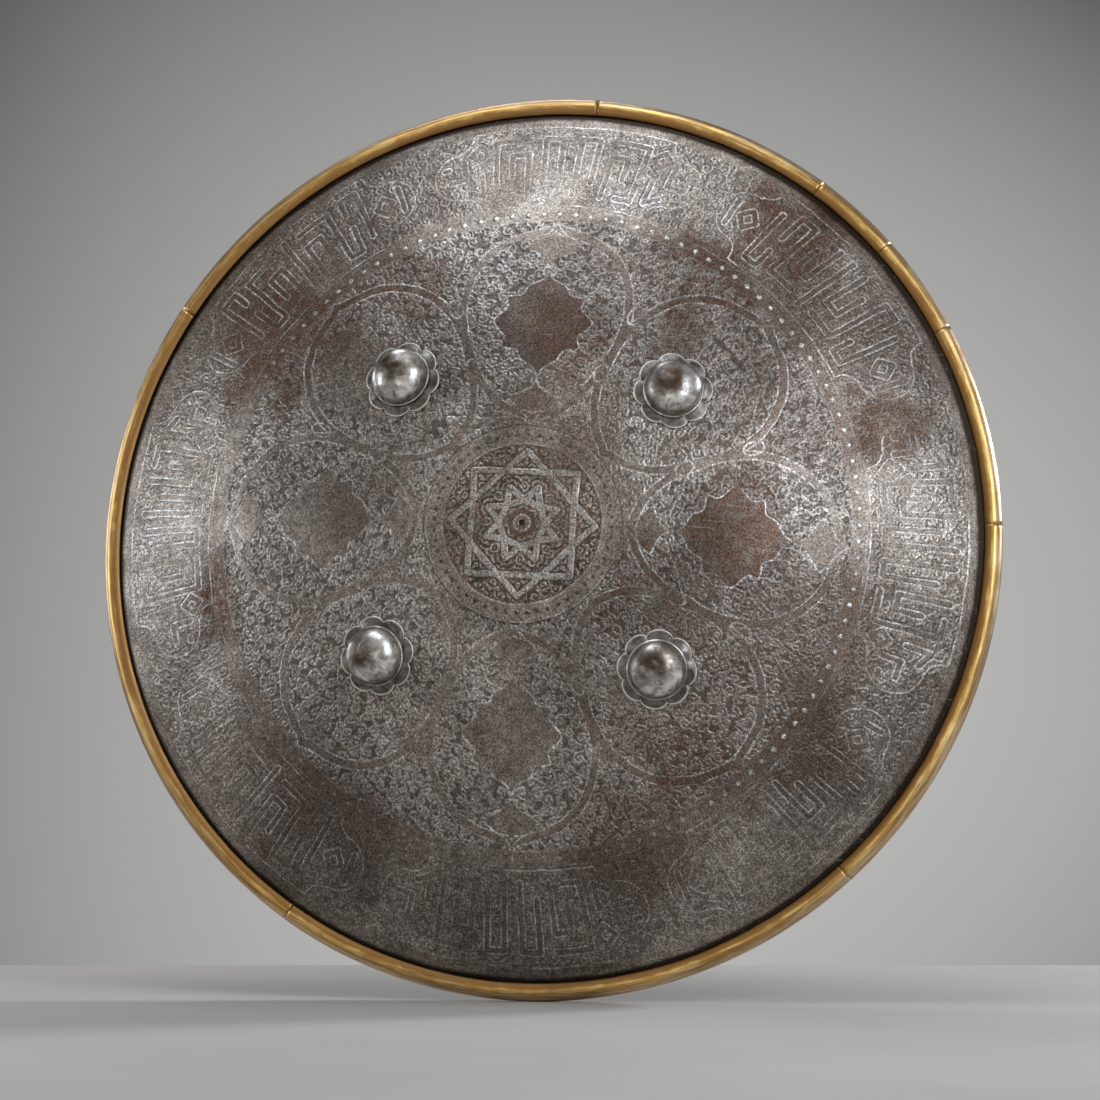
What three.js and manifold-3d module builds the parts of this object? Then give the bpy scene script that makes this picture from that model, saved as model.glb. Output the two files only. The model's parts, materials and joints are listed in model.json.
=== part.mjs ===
import * as THREE from 'three';
import { mergeVertices } from 'three/addons/utils/BufferGeometryUtils.js';
import Module from 'manifold-3d';

// Dhal: a round, dished steel shield with a rolled brass rim and four bosses on petalled rosettes.
// Behind each boss a ring bolt goes through the plate, and two leather grips hang on the bolts' rings
// at either side of a knuckle pad.
// Millimetres. The shield is upright: its face looks along -Y and +Z is up. Left is -X, the left hand
// of someone who looks at the face. The origin is on the axis, in the plane of the rim's back.

// Plate
const SHIELD_RADIUS = 225;
const BOWL_RISE = 70;
const PLATE_THICKNESS = 1.8;
const CENTRE_HOLE_RADIUS = 1.5;

// Clearances
const SEAT_GAP = 0.3;
const BED_GAP = 0.4;
const BORE_GAP = 0.3;
const JOINT_GAP = 0.3;
const OVERRUN = 3;

// Rim: strips of brass rolled round the plate's edge and butted end to end
const BEAD_RADIUS = 5.2;
const BEAD_WALL = 1.2;
const BEAD_BACK = 4.9;
const EDGE_PAST_BEAD_CENTRE = 1.4;
const LIP_GAP = 0.4;
const STRIP_STARTS_DEG = [5.2, 31.4, 44.5, 56.2, 87.7, 150.3, 238.5, 315.9];

// Ring bolts, and their places on the plate
const BOLT_OUT_UPPER = 66.8;
const BOLT_OUT_LOWER = 68.7;
const BOLT_UP = 69.6;
const BOLT_DOWN = 66.2;
const SHANK_RADIUS = 2.4;
const SHANK_IN_BOSS = 7;
const COLLAR_RADIUS = 4.2;
const COLLAR_THICKNESS = 1.5;
const STEM_RADIUS = 2.9;
const STEM_LENGTH = 6;
const EYE_RADIUS = 5.2;
const EYE_WIRE_RADIUS = 1.8;

// Bosses and their rosettes
const BOSS_RADIUS = 14.2;
const BOSS_HEIGHT = 12.5;
const BOSS_FOOT = 1.2;
const BOSS_FLARE = 0.5;
const PETALS = 8;
const PETAL_TIP_RADIUS = 19.4;
const PETAL_CUSP_RADIUS = 16.4;
const PETAL_THICKNESS = 1.4;
const PETAL_CROWN = 0.7;
const PETAL_EDGE = 0.6;
const PETAL_ROUNDNESS_SHARE = 0.5;
const PETAL_RIDGE_SHARE = 0.55;

// Washers at the back
const WASHER_RADIUS = 8.2;
const WASHER_THICKNESS = 1.5;
const WASHER_EDGE = 0.7;

// Rings
const RING_RADIUS = 12;
const RING_WIRE_RADIUS = 1.75;
const RING_SEAT_GAP = 0.45;

// Grips: a strap with a loop at each end, and a padded sleeve round its middle
const LOOP_WIDTH = 8;
const LOOP_WALL = 2.1;
const LOOP_CHAMFER = 0.7;
// How far past the loop's ends the strap's leaning edge meets the ring's wire
const LOOP_MOUTH = 1.2;
const STRAP_HALF_WIDTH = 3.5;
const STRAP_HALF_THICKNESS = 2.2;
const GRIP_LEAN = 30;
const GRIP_STAND = 41;
const GRIP_RUN = 29;
const SLEEVE_RADIUS = 8.8;
const SLEEVE_END_RADIUS = 5.8;
const SLEEVE_START_SHARE = 0.17;
const SLEEVE_SWELL_SHARE = 0.7;

// Hide backing and knuckle pad
const HIDE_THICKNESS = 2;
const HIDE_SIDE_RADIUS = 60;
const HIDE_CORNER_RADIUS = 111;
const HIDE_CORNER_POWER = 3;
const PAD_SIDE_RADIUS = 51;
const PAD_CORNER_RADIUS = 69;
const PAD_CORNER_POWER = 5;
const PAD_HEIGHT = 17;
const PAD_TUFT_DEPTH = 3.5;
// Share of the outline's radius, and share of the pad's height
const PAD_PROFILE_SHARES = [
  [0, 0], [0.5, 0], [0.88, 0], [0.97, 0.12], [1, 0.3],
  [0.96, 0.52], [0.85, 0.76], [0.62, 0.94], [0.3, 1], [0.1, 0.97],
];

// Facets
const PLATE_SEGMENTS = 60;
const PLATE_RINGS = 9;
const STRIP_STEP_DEG = 6;
const BEAD_FRONT_STEPS = 6;
const BEAD_INNER_STEPS = 2;
const BEAD_HOLLOW_STEPS = 4;
const HIDE_SEGMENTS = 36;
const HIDE_RINGS = 6;
const PAD_SEGMENTS = 32;
const ROUND_SEGMENTS = 12;
const BOSS_SEGMENTS = 20;
const WASHER_SEGMENTS = 16;
const DOME_STEPS = 5;
const FACETS_PER_PETAL = 4;
const WIRE_SIDES = 8;
const EYE_SIDES = 6;
const EYE_SEGMENTS = 16;
const RING_SEGMENTS = 18;
const GRIP_SIDES = 8;
const STRAP_STATIONS = 12;
const SLEEVE_STATIONS = 12;

// Finishes
const STEEL = new THREE.MeshStandardMaterial({ color: 0x6e6862, roughness: 0.5, metalness: 0.9 });
const BRIGHT_STEEL = new THREE.MeshStandardMaterial({ color: 0xa9a39b, roughness: 0.25, metalness: 1 });
const BRASS = new THREE.MeshStandardMaterial({ color: 0xb8873a, roughness: 0.3, metalness: 1 });
const IRON = new THREE.MeshStandardMaterial({ color: 0x4c4742, roughness: 0.55, metalness: 0.9 });
const LEATHER = new THREE.MeshStandardMaterial({ color: 0x5a3020, roughness: 0.7, metalness: 0 });
const PAD_LEATHER = new THREE.MeshStandardMaterial({ color: 0x6b3a26, roughness: 0.75, metalness: 0 });

const wasm = await Module();
wasm.setup();

// Geometry helpers

function bare(geometry) {
  const copy = geometry.clone();
  copy.deleteAttribute('normal');
  copy.deleteAttribute('uv');
  return mergeVertices(copy);
}

function signedVolume(geometry) {
  const corners = geometry.toNonIndexed().attributes.position;
  const a = new THREE.Vector3();
  const b = new THREE.Vector3();
  const c = new THREE.Vector3();
  let sum = 0;
  for (let i = 0; i < corners.count; i += 3) {
    a.fromBufferAttribute(corners, i);
    b.fromBufferAttribute(corners, i + 1);
    c.fromBufferAttribute(corners, i + 2);
    sum += a.dot(b.cross(c));
  }
  return sum;
}

function outward(geometry) {
  const solid = bare(geometry);
  if (signedVolume(solid) < 0) {
    solid.index.array.reverse();
  }
  return solid;
}

function toManifold(geometry) {
  const solid = outward(geometry);
  return new wasm.Manifold(new wasm.Mesh({
    numProp: 3,
    vertProperties: new Float32Array(solid.attributes.position.array),
    triVerts: new Uint32Array(solid.index.array),
  }));
}

function toGeometry(manifold) {
  const mesh = manifold.getMesh();
  const geometry = new THREE.BufferGeometry();
  geometry.setAttribute('position', new THREE.BufferAttribute(mesh.vertProperties, 3));
  geometry.setIndex(new THREE.BufferAttribute(mesh.triVerts, 1));
  return geometry;
}

function makeMesh(name, geometry, material) {
  const solid = outward(geometry);
  solid.computeVertexNormals();
  const mesh = new THREE.Mesh(solid, material);
  mesh.name = name;
  return mesh;
}

// A solid turned about the Y axis from points of radius and height
function turned(profile, segments) {
  return new THREE.LatheGeometry(profile.map(([radius, y]) => new THREE.Vector2(radius, y)), segments);
}

function rod(radius, from, to) {
  return turned([[0, from], [radius, from], [radius, to], [0, to]], ROUND_SEGMENTS);
}

function moveVertices(geometry, place) {
  const position = geometry.attributes.position;
  const point = new THREE.Vector3();
  for (let i = 0; i < position.count; i += 1) {
    point.fromBufferAttribute(position, i);
    const moved = place(point);
    position.setXYZ(i, moved.x, moved.y, moved.z);
  }
  return geometry;
}

// A skin over rings of points. An open row of rings gets end faces, a closed one meets its first ring.
function skinOverRings(rings, closed) {
  const sides = rings[0].length;
  const points = rings.flat();
  const index = [];
  const spans = closed ? rings.length : rings.length - 1;
  for (let i = 0; i < spans; i += 1) {
    const here = i * sides;
    const next = ((i + 1) % rings.length) * sides;
    for (let j = 0; j < sides; j += 1) {
      const k = (j + 1) % sides;
      index.push(here + j, next + j, next + k);
      index.push(here + j, next + k, here + k);
    }
  }
  const last = points.length - sides;
  for (let j = 1; !closed && j < sides - 1; j += 1) {
    index.push(0, j, j + 1);
    index.push(last, last + j + 1, last + j);
  }
  const geometry = new THREE.BufferGeometry().setFromPoints(points);
  geometry.setIndex(index);
  return geometry;
}

function arcPoints(radius, from, to, steps) {
  const points = [];
  for (let i = 0; i <= steps; i += 1) {
    const angle = from + (to - from) * i / steps;
    points.push(new THREE.Vector2(radius * Math.cos(angle), radius * Math.sin(angle)));
  }
  return points;
}

// The plate's form: a paraboloid whose middle surface runs into the centre of the rim's bead

const BEAD_CENTRE_RADIUS = SHIELD_RADIUS - BEAD_RADIUS;
const PLATE_RADIUS = BEAD_CENTRE_RADIUS + EDGE_PAST_BEAD_CENTRE;
const EDGE_Y = BOWL_RISE * (1 - (BEAD_CENTRE_RADIUS / PLATE_RADIUS) ** 2) - BEAD_BACK;

function slopeAt(radius) {
  return Math.atan(2 * BOWL_RISE * radius / PLATE_RADIUS ** 2);
}

// Radius and y of the point that lies behind the middle surface by the depth given, square to it
function sectionPoint(radius, depth) {
  const slope = slopeAt(radius);
  const middle = EDGE_Y - BOWL_RISE * (1 - (radius / PLATE_RADIUS) ** 2);
  return [radius - depth * Math.sin(slope), middle + depth * Math.cos(slope)];
}

function bowlPoint(x, z, depth) {
  const radius = Math.hypot(x, z);
  const [reach, y] = sectionPoint(radius, depth);
  const share = radius > 0 ? reach / radius : 1;
  return new THREE.Vector3(x * share, y, z * share);
}

function backNormal(x, z) {
  const radius = Math.hypot(x, z);
  const slope = slopeAt(radius);
  const inward = -Math.sin(slope) / radius;
  return new THREE.Vector3(x * inward, Math.cos(slope), z * inward);
}

// Depths behind the middle surface, in the order in which the pieces are stacked on a bolt
const ROSETTE_SEAT = -PLATE_THICKNESS / 2 - SEAT_GAP;
const BOSS_SEAT = ROSETTE_SEAT - PETAL_THICKNESS - SEAT_GAP;
const HIDE_FRONT = PLATE_THICKNESS / 2 + BED_GAP;
const HIDE_BACK = HIDE_FRONT + HIDE_THICKNESS;
const PAD_FRONT = HIDE_BACK + BED_GAP;
const WASHER_SEAT = HIDE_BACK + BED_GAP;
const COLLAR_SEAT = WASHER_SEAT + WASHER_THICKNESS + SEAT_GAP;
const COLLAR_BACK = COLLAR_SEAT + COLLAR_THICKNESS;
const EYE_DEPTH = COLLAR_BACK + STEM_LENGTH + EYE_WIRE_RADIUS + EYE_RADIUS;
const HOLE_RADIUS = SHANK_RADIUS + BORE_GAP;
const RING_DROP = EYE_RADIUS - EYE_WIRE_RADIUS - RING_WIRE_RADIUS - RING_SEAT_GAP;

// The four corners. The rosettes were set by eye, so each has its own turn.
const CORNERS = [
  { name: 'upper_left', x: -BOLT_OUT_UPPER, z: BOLT_UP, turnDeg: 4 },
  { name: 'upper_right', x: BOLT_OUT_UPPER, z: BOLT_UP, turnDeg: -8 },
  { name: 'lower_left', x: -BOLT_OUT_LOWER, z: -BOLT_DOWN, turnDeg: -12 },
  { name: 'lower_right', x: BOLT_OUT_LOWER, z: -BOLT_DOWN, turnDeg: 2 },
];

// Where a corner's pieces are: its seat on the plate, the tilt of the plate there, and from the seat
// the bolt's eye and the middle of the ring's wire where it hangs in the eye
function cornerFrame(corner) {
  const normal = backNormal(corner.x, corner.z);
  const seat = bowlPoint(corner.x, corner.z, 0);
  const tilt = new THREE.Quaternion().setFromUnitVectors(new THREE.Vector3(0, 1, 0), normal);
  const eye = normal.multiplyScalar(EYE_DEPTH);
  const ringTop = eye.clone().add(new THREE.Vector3(0, 0, -RING_DROP));
  return { seat, tilt, eye, ringTop };
}

function drillBoltHoles(geometry) {
  let solid = toManifold(geometry);
  for (const corner of CORNERS) {
    const { seat, tilt } = cornerFrame(corner);
    const hole = rod(HOLE_RADIUS, -PLATE_THICKNESS - OVERRUN, HIDE_BACK + OVERRUN);
    hole.applyQuaternion(tilt);
    hole.translate(seat.x, seat.y, seat.z);
    solid = solid.subtract(toManifold(hole));
  }
  return toGeometry(solid);
}

// Shield plate

function plateProfile() {
  const radii = [CENTRE_HOLE_RADIUS];
  for (let i = 1; i <= PLATE_RINGS; i += 1) {
    radii.push(PLATE_RADIUS * i / PLATE_RINGS);
  }
  const face = radii.map((radius) => sectionPoint(radius, -PLATE_THICKNESS / 2));
  const back = radii.map((radius) => sectionPoint(radius, PLATE_THICKNESS / 2));
  return [...face, ...back.reverse(), face[0]];
}

function shieldPlate() {
  return makeMesh('shield_plate', drillBoltHoles(turned(plateProfile(), PLATE_SEGMENTS)), STEEL);
}

// Rim strips

class RimArc extends THREE.Curve {
  constructor(from, to) {
    super();
    this.from = from;
    this.to = to;
  }

  getPoint(share, target = new THREE.Vector3()) {
    const angle = this.from + (this.to - this.from) * share;
    return target.set(BEAD_CENTRE_RADIUS * Math.cos(angle), -BEAD_BACK, BEAD_CENTRE_RADIUS * Math.sin(angle));
  }

  getTangent(share, target = new THREE.Vector3()) {
    const angle = this.from + (this.to - this.from) * share;
    return target.set(-Math.sin(angle), 0, Math.cos(angle));
  }
}

// The rolled strip in section, with x forward and y outward from the bead's centre.
// The plate comes in through the slot at the inner front, and the back is filed flat.
function beadSection() {
  const hollow = BEAD_RADIUS - BEAD_WALL;
  const slot = slopeAt(BEAD_CENTRE_RADIUS) - Math.PI / 2;
  const slotHalf = PLATE_THICKNESS / 2 + LIP_GAP;
  const outerHalf = Math.asin(slotHalf / BEAD_RADIUS);
  const innerHalf = Math.asin(slotHalf / hollow);
  const flatHalf = Math.acos(BEAD_BACK / BEAD_RADIUS);
  const turn = 2 * Math.PI;
  return new THREE.Shape([
    ...arcPoints(BEAD_RADIUS, slot + outerHalf, Math.PI - flatHalf, BEAD_FRONT_STEPS),
    ...arcPoints(BEAD_RADIUS, Math.PI + flatHalf, slot + turn - outerHalf, BEAD_INNER_STEPS),
    ...arcPoints(hollow, slot + turn - innerHalf, slot + innerHalf, BEAD_HOLLOW_STEPS),
  ]);
}

function rimStrip(number, fromDeg, toDeg) {
  const trim = JOINT_GAP / 2 / SHIELD_RADIUS;
  const arc = new RimArc(THREE.MathUtils.degToRad(fromDeg) + trim, THREE.MathUtils.degToRad(toDeg) - trim);
  const steps = Math.ceil((toDeg - fromDeg) / STRIP_STEP_DEG);
  const strip = new THREE.ExtrudeGeometry(beadSection(), { extrudePath: arc, steps });
  return makeMesh(`rim_strip_${number}`, strip, BRASS);
}

function rim() {
  const group = new THREE.Group();
  STRIP_STARTS_DEG.forEach((start, i) => {
    const next = STRIP_STARTS_DEG[i + 1] ?? STRIP_STARTS_DEG[0] + 360;
    group.add(rimStrip(i + 1, start, next));
  });
  return group;
}

// Boss dome: a forged half-round with a small foot, bored from below for the bolt's shank

function bossDome(corner) {
  const boreEnd = BOSS_SEAT - SHANK_IN_BOSS - SEAT_GAP;
  const shoulder = BOSS_SEAT - BOSS_FOOT;
  const profile = [];
  for (let i = 0; i <= DOME_STEPS; i += 1) {
    const angle = Math.PI / 2 * i / DOME_STEPS;
    const rise = (BOSS_HEIGHT - BOSS_FOOT) * Math.cos(angle);
    profile.push([BOSS_RADIUS * Math.sin(angle), shoulder - rise]);
  }
  profile.push([BOSS_RADIUS + BOSS_FLARE, BOSS_SEAT]);
  profile.push([HOLE_RADIUS, BOSS_SEAT]);
  profile.push([HOLE_RADIUS, boreEnd]);
  profile.push([0, boreEnd]);
  return makeMesh(`boss_dome_${corner.name}`, turned(profile, BOSS_SEGMENTS), BRIGHT_STEEL);
}

// Rosette: eight round petals, each crowned between its cusps, dished to lie on the plate

function petalShare(angle) {
  return Math.abs(Math.cos(PETALS / 2 * angle)) ** PETAL_ROUNDNESS_SHARE;
}

// Rows of the rosette in section: where each lies between the boss's foot and the petals' edge,
// how thick the rosette is there, and how much of the petals' crown it has
function rosetteRows() {
  return [
    { edgeShare: 0, thickness: PETAL_THICKNESS, crownShare: 0, atHole: true },
    { edgeShare: 0, thickness: PETAL_THICKNESS, crownShare: 0 },
    { edgeShare: PETAL_RIDGE_SHARE, thickness: PETAL_THICKNESS, crownShare: 1 },
    { edgeShare: 1, thickness: PETAL_EDGE, crownShare: 0 },
    { edgeShare: 1, thickness: 0, crownShare: 0 },
    { edgeShare: 0, thickness: 0, crownShare: 0, atHole: true },
    { edgeShare: 0, thickness: PETAL_THICKNESS, crownShare: 0, atHole: true },
  ];
}

function rosettePoint(row, angle) {
  const petal = petalShare(angle);
  const foot = BOSS_RADIUS + BOSS_FLARE + SEAT_GAP;
  const edge = PETAL_CUSP_RADIUS + (PETAL_TIP_RADIUS - PETAL_CUSP_RADIUS) * petal;
  const radius = row.atHole ? HOLE_RADIUS : foot + (edge - foot) * row.edgeShare;
  const slope = slopeAt(Math.hypot(BOLT_OUT_LOWER, BOLT_DOWN));
  const plateCurve = 2 * BOWL_RISE / PLATE_RADIUS ** 2 * Math.cos(slope) ** 3;
  const sag = plateCurve * radius ** 2 / 2;
  const front = ROSETTE_SEAT - row.thickness - PETAL_CROWN * row.crownShare * petal;
  return new THREE.Vector3(radius * Math.sin(angle), front + sag, radius * Math.cos(angle));
}

function bossRosette(corner) {
  const rows = rosetteRows();
  const rings = rows.map((row, i) => [1, i]);
  const blank = turned(rings, PETALS * FACETS_PER_PETAL);
  moveVertices(blank, (point) => rosettePoint(rows[Math.round(point.y)], Math.atan2(point.x, point.z)));
  blank.rotateY(THREE.MathUtils.degToRad(corner.turnDeg));
  return makeMesh(`boss_rosette_${corner.name}`, blank, BRIGHT_STEEL);
}

// Ring bolt: a shank through the plate, a collar on the washer, and an eye whose hole runs along X

function ringBolt(corner) {
  const { tilt, eye } = cornerFrame(corner);
  const tip = BOSS_SEAT - SHANK_IN_BOSS;
  const chamfer = SHANK_RADIUS / 4;
  const stem = turned([
    [0, tip],
    [SHANK_RADIUS - chamfer, tip],
    [SHANK_RADIUS, tip + chamfer],
    [SHANK_RADIUS, COLLAR_SEAT],
    [COLLAR_RADIUS, COLLAR_SEAT],
    [COLLAR_RADIUS, COLLAR_BACK],
    [STEM_RADIUS, COLLAR_BACK + STEM_LENGTH],
    [0, COLLAR_BACK + STEM_LENGTH + EYE_WIRE_RADIUS],
  ], ROUND_SEGMENTS);
  stem.applyQuaternion(tilt);
  const loop = new THREE.TorusGeometry(EYE_RADIUS, EYE_WIRE_RADIUS, EYE_SIDES, EYE_SEGMENTS);
  loop.rotateY(Math.PI / 2);
  loop.translate(eye.x, eye.y, eye.z);
  const bolt = toManifold(stem).add(toManifold(loop));
  return makeMesh(`ring_bolt_${corner.name}`, toGeometry(bolt), IRON);
}

function backWasher(corner) {
  const profile = [
    [HOLE_RADIUS, WASHER_SEAT],
    [WASHER_RADIUS, WASHER_SEAT],
    [WASHER_RADIUS, WASHER_SEAT + WASHER_EDGE],
    [COLLAR_RADIUS + SEAT_GAP, WASHER_SEAT + WASHER_THICKNESS],
    [HOLE_RADIUS, WASHER_SEAT + WASHER_THICKNESS],
    [HOLE_RADIUS, WASHER_SEAT],
  ];
  return makeMesh(`back_washer_${corner.name}`, turned(profile, WASHER_SEGMENTS), IRON);
}

function ring(corner) {
  const { ringTop } = cornerFrame(corner);
  const torus = new THREE.TorusGeometry(RING_RADIUS, RING_WIRE_RADIUS, WIRE_SIDES, RING_SEGMENTS);
  torus.rotateX(Math.PI / 2);
  const mesh = makeMesh(`ring_${corner.name}`, torus, IRON);
  mesh.position.copy(ringTop).add(new THREE.Vector3(0, 0, -RING_RADIUS));
  return mesh;
}

function cornerGroup(corner) {
  const { seat, tilt } = cornerFrame(corner);
  const tilted = new THREE.Group();
  tilted.quaternion.copy(tilt);
  tilted.add(bossDome(corner), bossRosette(corner), backWasher(corner));
  const group = new THREE.Group();
  group.position.copy(seat);
  group.add(tilted, ringBolt(corner), ring(corner));
  return group;
}

// Grips

// The middle of the wire at the foot of a corner's ring, where a grip's loop hangs
function ringFoot(corner) {
  const { seat, ringTop } = cornerFrame(corner);
  return seat.add(ringTop).add(new THREE.Vector3(0, 0, -2 * RING_RADIUS));
}

function gripLine(upper, lower) {
  const top = ringFoot(upper);
  const bottom = ringFoot(lower);
  const lean = -Math.sign(upper.x) * GRIP_LEAN;
  const topHandle = top.clone().add(new THREE.Vector3(lean, GRIP_STAND, -GRIP_RUN));
  const bottomHandle = bottom.clone().add(new THREE.Vector3(lean, GRIP_STAND, GRIP_RUN));
  const across = bottom.clone().sub(top).cross(new THREE.Vector3(lean, GRIP_STAND, 0)).normalize();
  return { top, bottom, across, curve: new THREE.CubicBezierCurve3(top, topHandle, bottomHandle, bottom) };
}

function gripRing(line, share, halfWidth, halfThickness) {
  const centre = line.curve.getPoint(share);
  const outwards = line.across.clone().cross(line.curve.getTangent(share)).normalize();
  const points = [];
  for (let i = 0; i < GRIP_SIDES; i += 1) {
    const angle = 2 * Math.PI * (i + 1 / 2) / GRIP_SIDES;
    const point = centre.clone().addScaledVector(line.across, halfWidth * Math.cos(angle));
    points.push(point.addScaledVector(outwards, halfThickness * Math.sin(angle)));
  }
  return points;
}

function loopBoreRadius() {
  const reach = LOOP_WIDTH / 2 + LOOP_MOUTH;
  const bend = RING_RADIUS - Math.sqrt(RING_RADIUS ** 2 - reach ** 2);
  return RING_WIRE_RADIUS + bend + BORE_GAP;
}

function alongX(geometry, centre) {
  geometry.rotateZ(Math.PI / 2);
  geometry.translate(centre.x, centre.y, centre.z);
  return toManifold(geometry);
}

function strapLoop(centre) {
  const outer = loopBoreRadius() + LOOP_WALL;
  const half = LOOP_WIDTH / 2;
  const profile = [
    [0, -half],
    [outer - LOOP_CHAMFER, -half],
    [outer, LOOP_CHAMFER - half],
    [outer, half - LOOP_CHAMFER],
    [outer - LOOP_CHAMFER, half],
    [0, half],
  ];
  return alongX(turned(profile, ROUND_SEGMENTS), centre);
}

function gripStrap(side, line) {
  const rings = [];
  for (let i = 0; i <= STRAP_STATIONS; i += 1) {
    rings.push(gripRing(line, i / STRAP_STATIONS, STRAP_HALF_WIDTH, STRAP_HALF_THICKNESS));
  }
  let strap = toManifold(skinOverRings(rings, false));
  for (const centre of [line.top, line.bottom]) {
    const half = LOOP_WIDTH / 2 + OVERRUN;
    const bore = alongX(rod(loopBoreRadius(), -half, half), centre);
    strap = strap.add(strapLoop(centre)).subtract(bore);
  }
  return makeMesh(`grip_strap_${side}`, toGeometry(strap), LEATHER);
}

function gripSleeve(side, line) {
  const outside = [];
  const bore = [];
  for (let i = 0; i <= SLEEVE_STATIONS; i += 1) {
    const way = (1 - Math.cos(Math.PI * i / SLEEVE_STATIONS)) / 2;
    const share = SLEEVE_START_SHARE + (1 - 2 * SLEEVE_START_SHARE) * way;
    const swell = Math.abs(Math.sin(Math.PI * way)) ** SLEEVE_SWELL_SHARE;
    const radius = SLEEVE_END_RADIUS + (SLEEVE_RADIUS - SLEEVE_END_RADIUS) * swell;
    outside.push(gripRing(line, share, radius, radius));
    bore.push(gripRing(line, share, STRAP_HALF_WIDTH + BED_GAP, STRAP_HALF_THICKNESS + BED_GAP));
  }
  return makeMesh(`grip_sleeve_${side}`, skinOverRings([...outside, ...bore.reverse()], true), LEATHER);
}

function grip(side, upper, lower) {
  const line = gripLine(upper, lower);
  const group = new THREE.Group();
  group.add(gripStrap(side, line), gripSleeve(side, line));
  return group;
}

// Leather sheets that lie in the bowl: a profile of outline shares and depths, bent to the bowl

function outlineRadius(angle, side, corner, power) {
  return side + (corner - side) * Math.abs(Math.sin(2 * angle)) ** power;
}

function bentSheet(profile, segments, side, corner, power) {
  const blank = turned(profile, segments);
  return moveVertices(blank, (point) => {
    const reach = outlineRadius(Math.atan2(point.z, point.x), side, corner, power);
    return bowlPoint(point.x * reach, point.z * reach, point.y);
  });
}

// A hide with four tabs that the bolts' washers hold to the plate
function padBacking() {
  const front = [];
  const back = [];
  for (let i = 0; i <= HIDE_RINGS; i += 1) {
    front.push([i / HIDE_RINGS, HIDE_FRONT]);
    back.push([1 - i / HIDE_RINGS, HIDE_BACK]);
  }
  const hide = bentSheet([...front, ...back], HIDE_SEGMENTS, HIDE_SIDE_RADIUS, HIDE_CORNER_RADIUS, HIDE_CORNER_POWER);
  return makeMesh('pad_backing', drillBoltHoles(hide), LEATHER);
}

function knucklePad() {
  const profile = PAD_PROFILE_SHARES.map(([outline, height]) => [outline, PAD_FRONT + PAD_HEIGHT * height]);
  profile.push([0, PAD_FRONT + PAD_HEIGHT - PAD_TUFT_DEPTH]);
  const pad = bentSheet(profile, PAD_SEGMENTS, PAD_SIDE_RADIUS, PAD_CORNER_RADIUS, PAD_CORNER_POWER);
  return makeMesh('knuckle_pad', pad, PAD_LEATHER);
}

const shield = new THREE.Group();
const [upperLeft, upperRight, lowerLeft, lowerRight] = CORNERS;
shield.add(shieldPlate(), rim(), padBacking(), knucklePad());
shield.add(...CORNERS.map(cornerGroup));
shield.add(grip('left', upperLeft, lowerLeft), grip('right', upperRight, lowerRight));

export default shield;
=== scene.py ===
import json
import math

import bmesh
import bpy
import numpy as np
from bpy.props import FloatProperty, FloatVectorProperty, IntProperty, PointerProperty
from mathutils import Matrix, Vector, kdtree

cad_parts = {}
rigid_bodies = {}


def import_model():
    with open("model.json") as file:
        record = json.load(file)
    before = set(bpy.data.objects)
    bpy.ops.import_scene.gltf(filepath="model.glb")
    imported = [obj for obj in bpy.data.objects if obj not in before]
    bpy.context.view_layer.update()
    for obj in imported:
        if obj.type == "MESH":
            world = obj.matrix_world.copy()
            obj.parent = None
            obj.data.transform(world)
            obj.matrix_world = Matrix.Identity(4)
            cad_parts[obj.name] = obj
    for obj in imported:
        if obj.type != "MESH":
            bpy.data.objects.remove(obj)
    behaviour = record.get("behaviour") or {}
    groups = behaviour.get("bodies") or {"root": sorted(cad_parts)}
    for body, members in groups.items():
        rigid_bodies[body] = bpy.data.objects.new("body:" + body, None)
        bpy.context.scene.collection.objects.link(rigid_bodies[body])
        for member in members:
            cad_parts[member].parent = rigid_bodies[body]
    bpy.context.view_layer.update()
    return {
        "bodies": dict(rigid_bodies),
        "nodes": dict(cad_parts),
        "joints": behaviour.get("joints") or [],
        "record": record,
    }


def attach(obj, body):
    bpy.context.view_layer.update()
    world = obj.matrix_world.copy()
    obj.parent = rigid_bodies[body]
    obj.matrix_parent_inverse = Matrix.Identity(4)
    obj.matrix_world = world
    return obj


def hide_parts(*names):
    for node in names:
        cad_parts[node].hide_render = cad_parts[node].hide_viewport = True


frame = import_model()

bl_info = {
    "name": "Dhal Shield",
    "version": (1, 0, 0),
    "blender": (4, 5, 0),
    "location": "View3D > Sidebar > Dhal Shield",
    "description": "Makes the engraved plate, rim, bosses, rings, grips and pad of a round steel shield",
    "category": "Add Mesh",
}

# Shapes are worked out in millimetres, in the frame's axes, and become metres when a mesh is made.
# The face looks along -Y. Across is X, up is Z, and depth is how far behind the plate's middle surface.
MM = 0.001
TURN = 2 * math.pi

SHIELD_RADIUS = 225.0
BEAD_RADIUS, BEAD_WALL, BEAD_BACK = 5.2, 1.2, 4.9
BEAD_CENTRE_RADIUS = SHIELD_RADIUS - BEAD_RADIUS
PLATE_RADIUS = BEAD_CENTRE_RADIUS + 1.4
BOWL_RISE = 70.0
PLATE_THICKNESS = 1.8
CENTRE_HOLE_RADIUS = 1.5
EDGE_Y = BOWL_RISE * (1 - (BEAD_CENTRE_RADIUS / PLATE_RADIUS) ** 2) - BEAD_BACK
SEAT_GAP, BED_GAP = 0.3, 0.4

# Where each brass strip starts, in degrees from the right, over the top
STRIP_STARTS_DEG = [5.2, 31.4, 44.5, 56.2, 87.7, 150.3, 238.5, 315.9]

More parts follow.
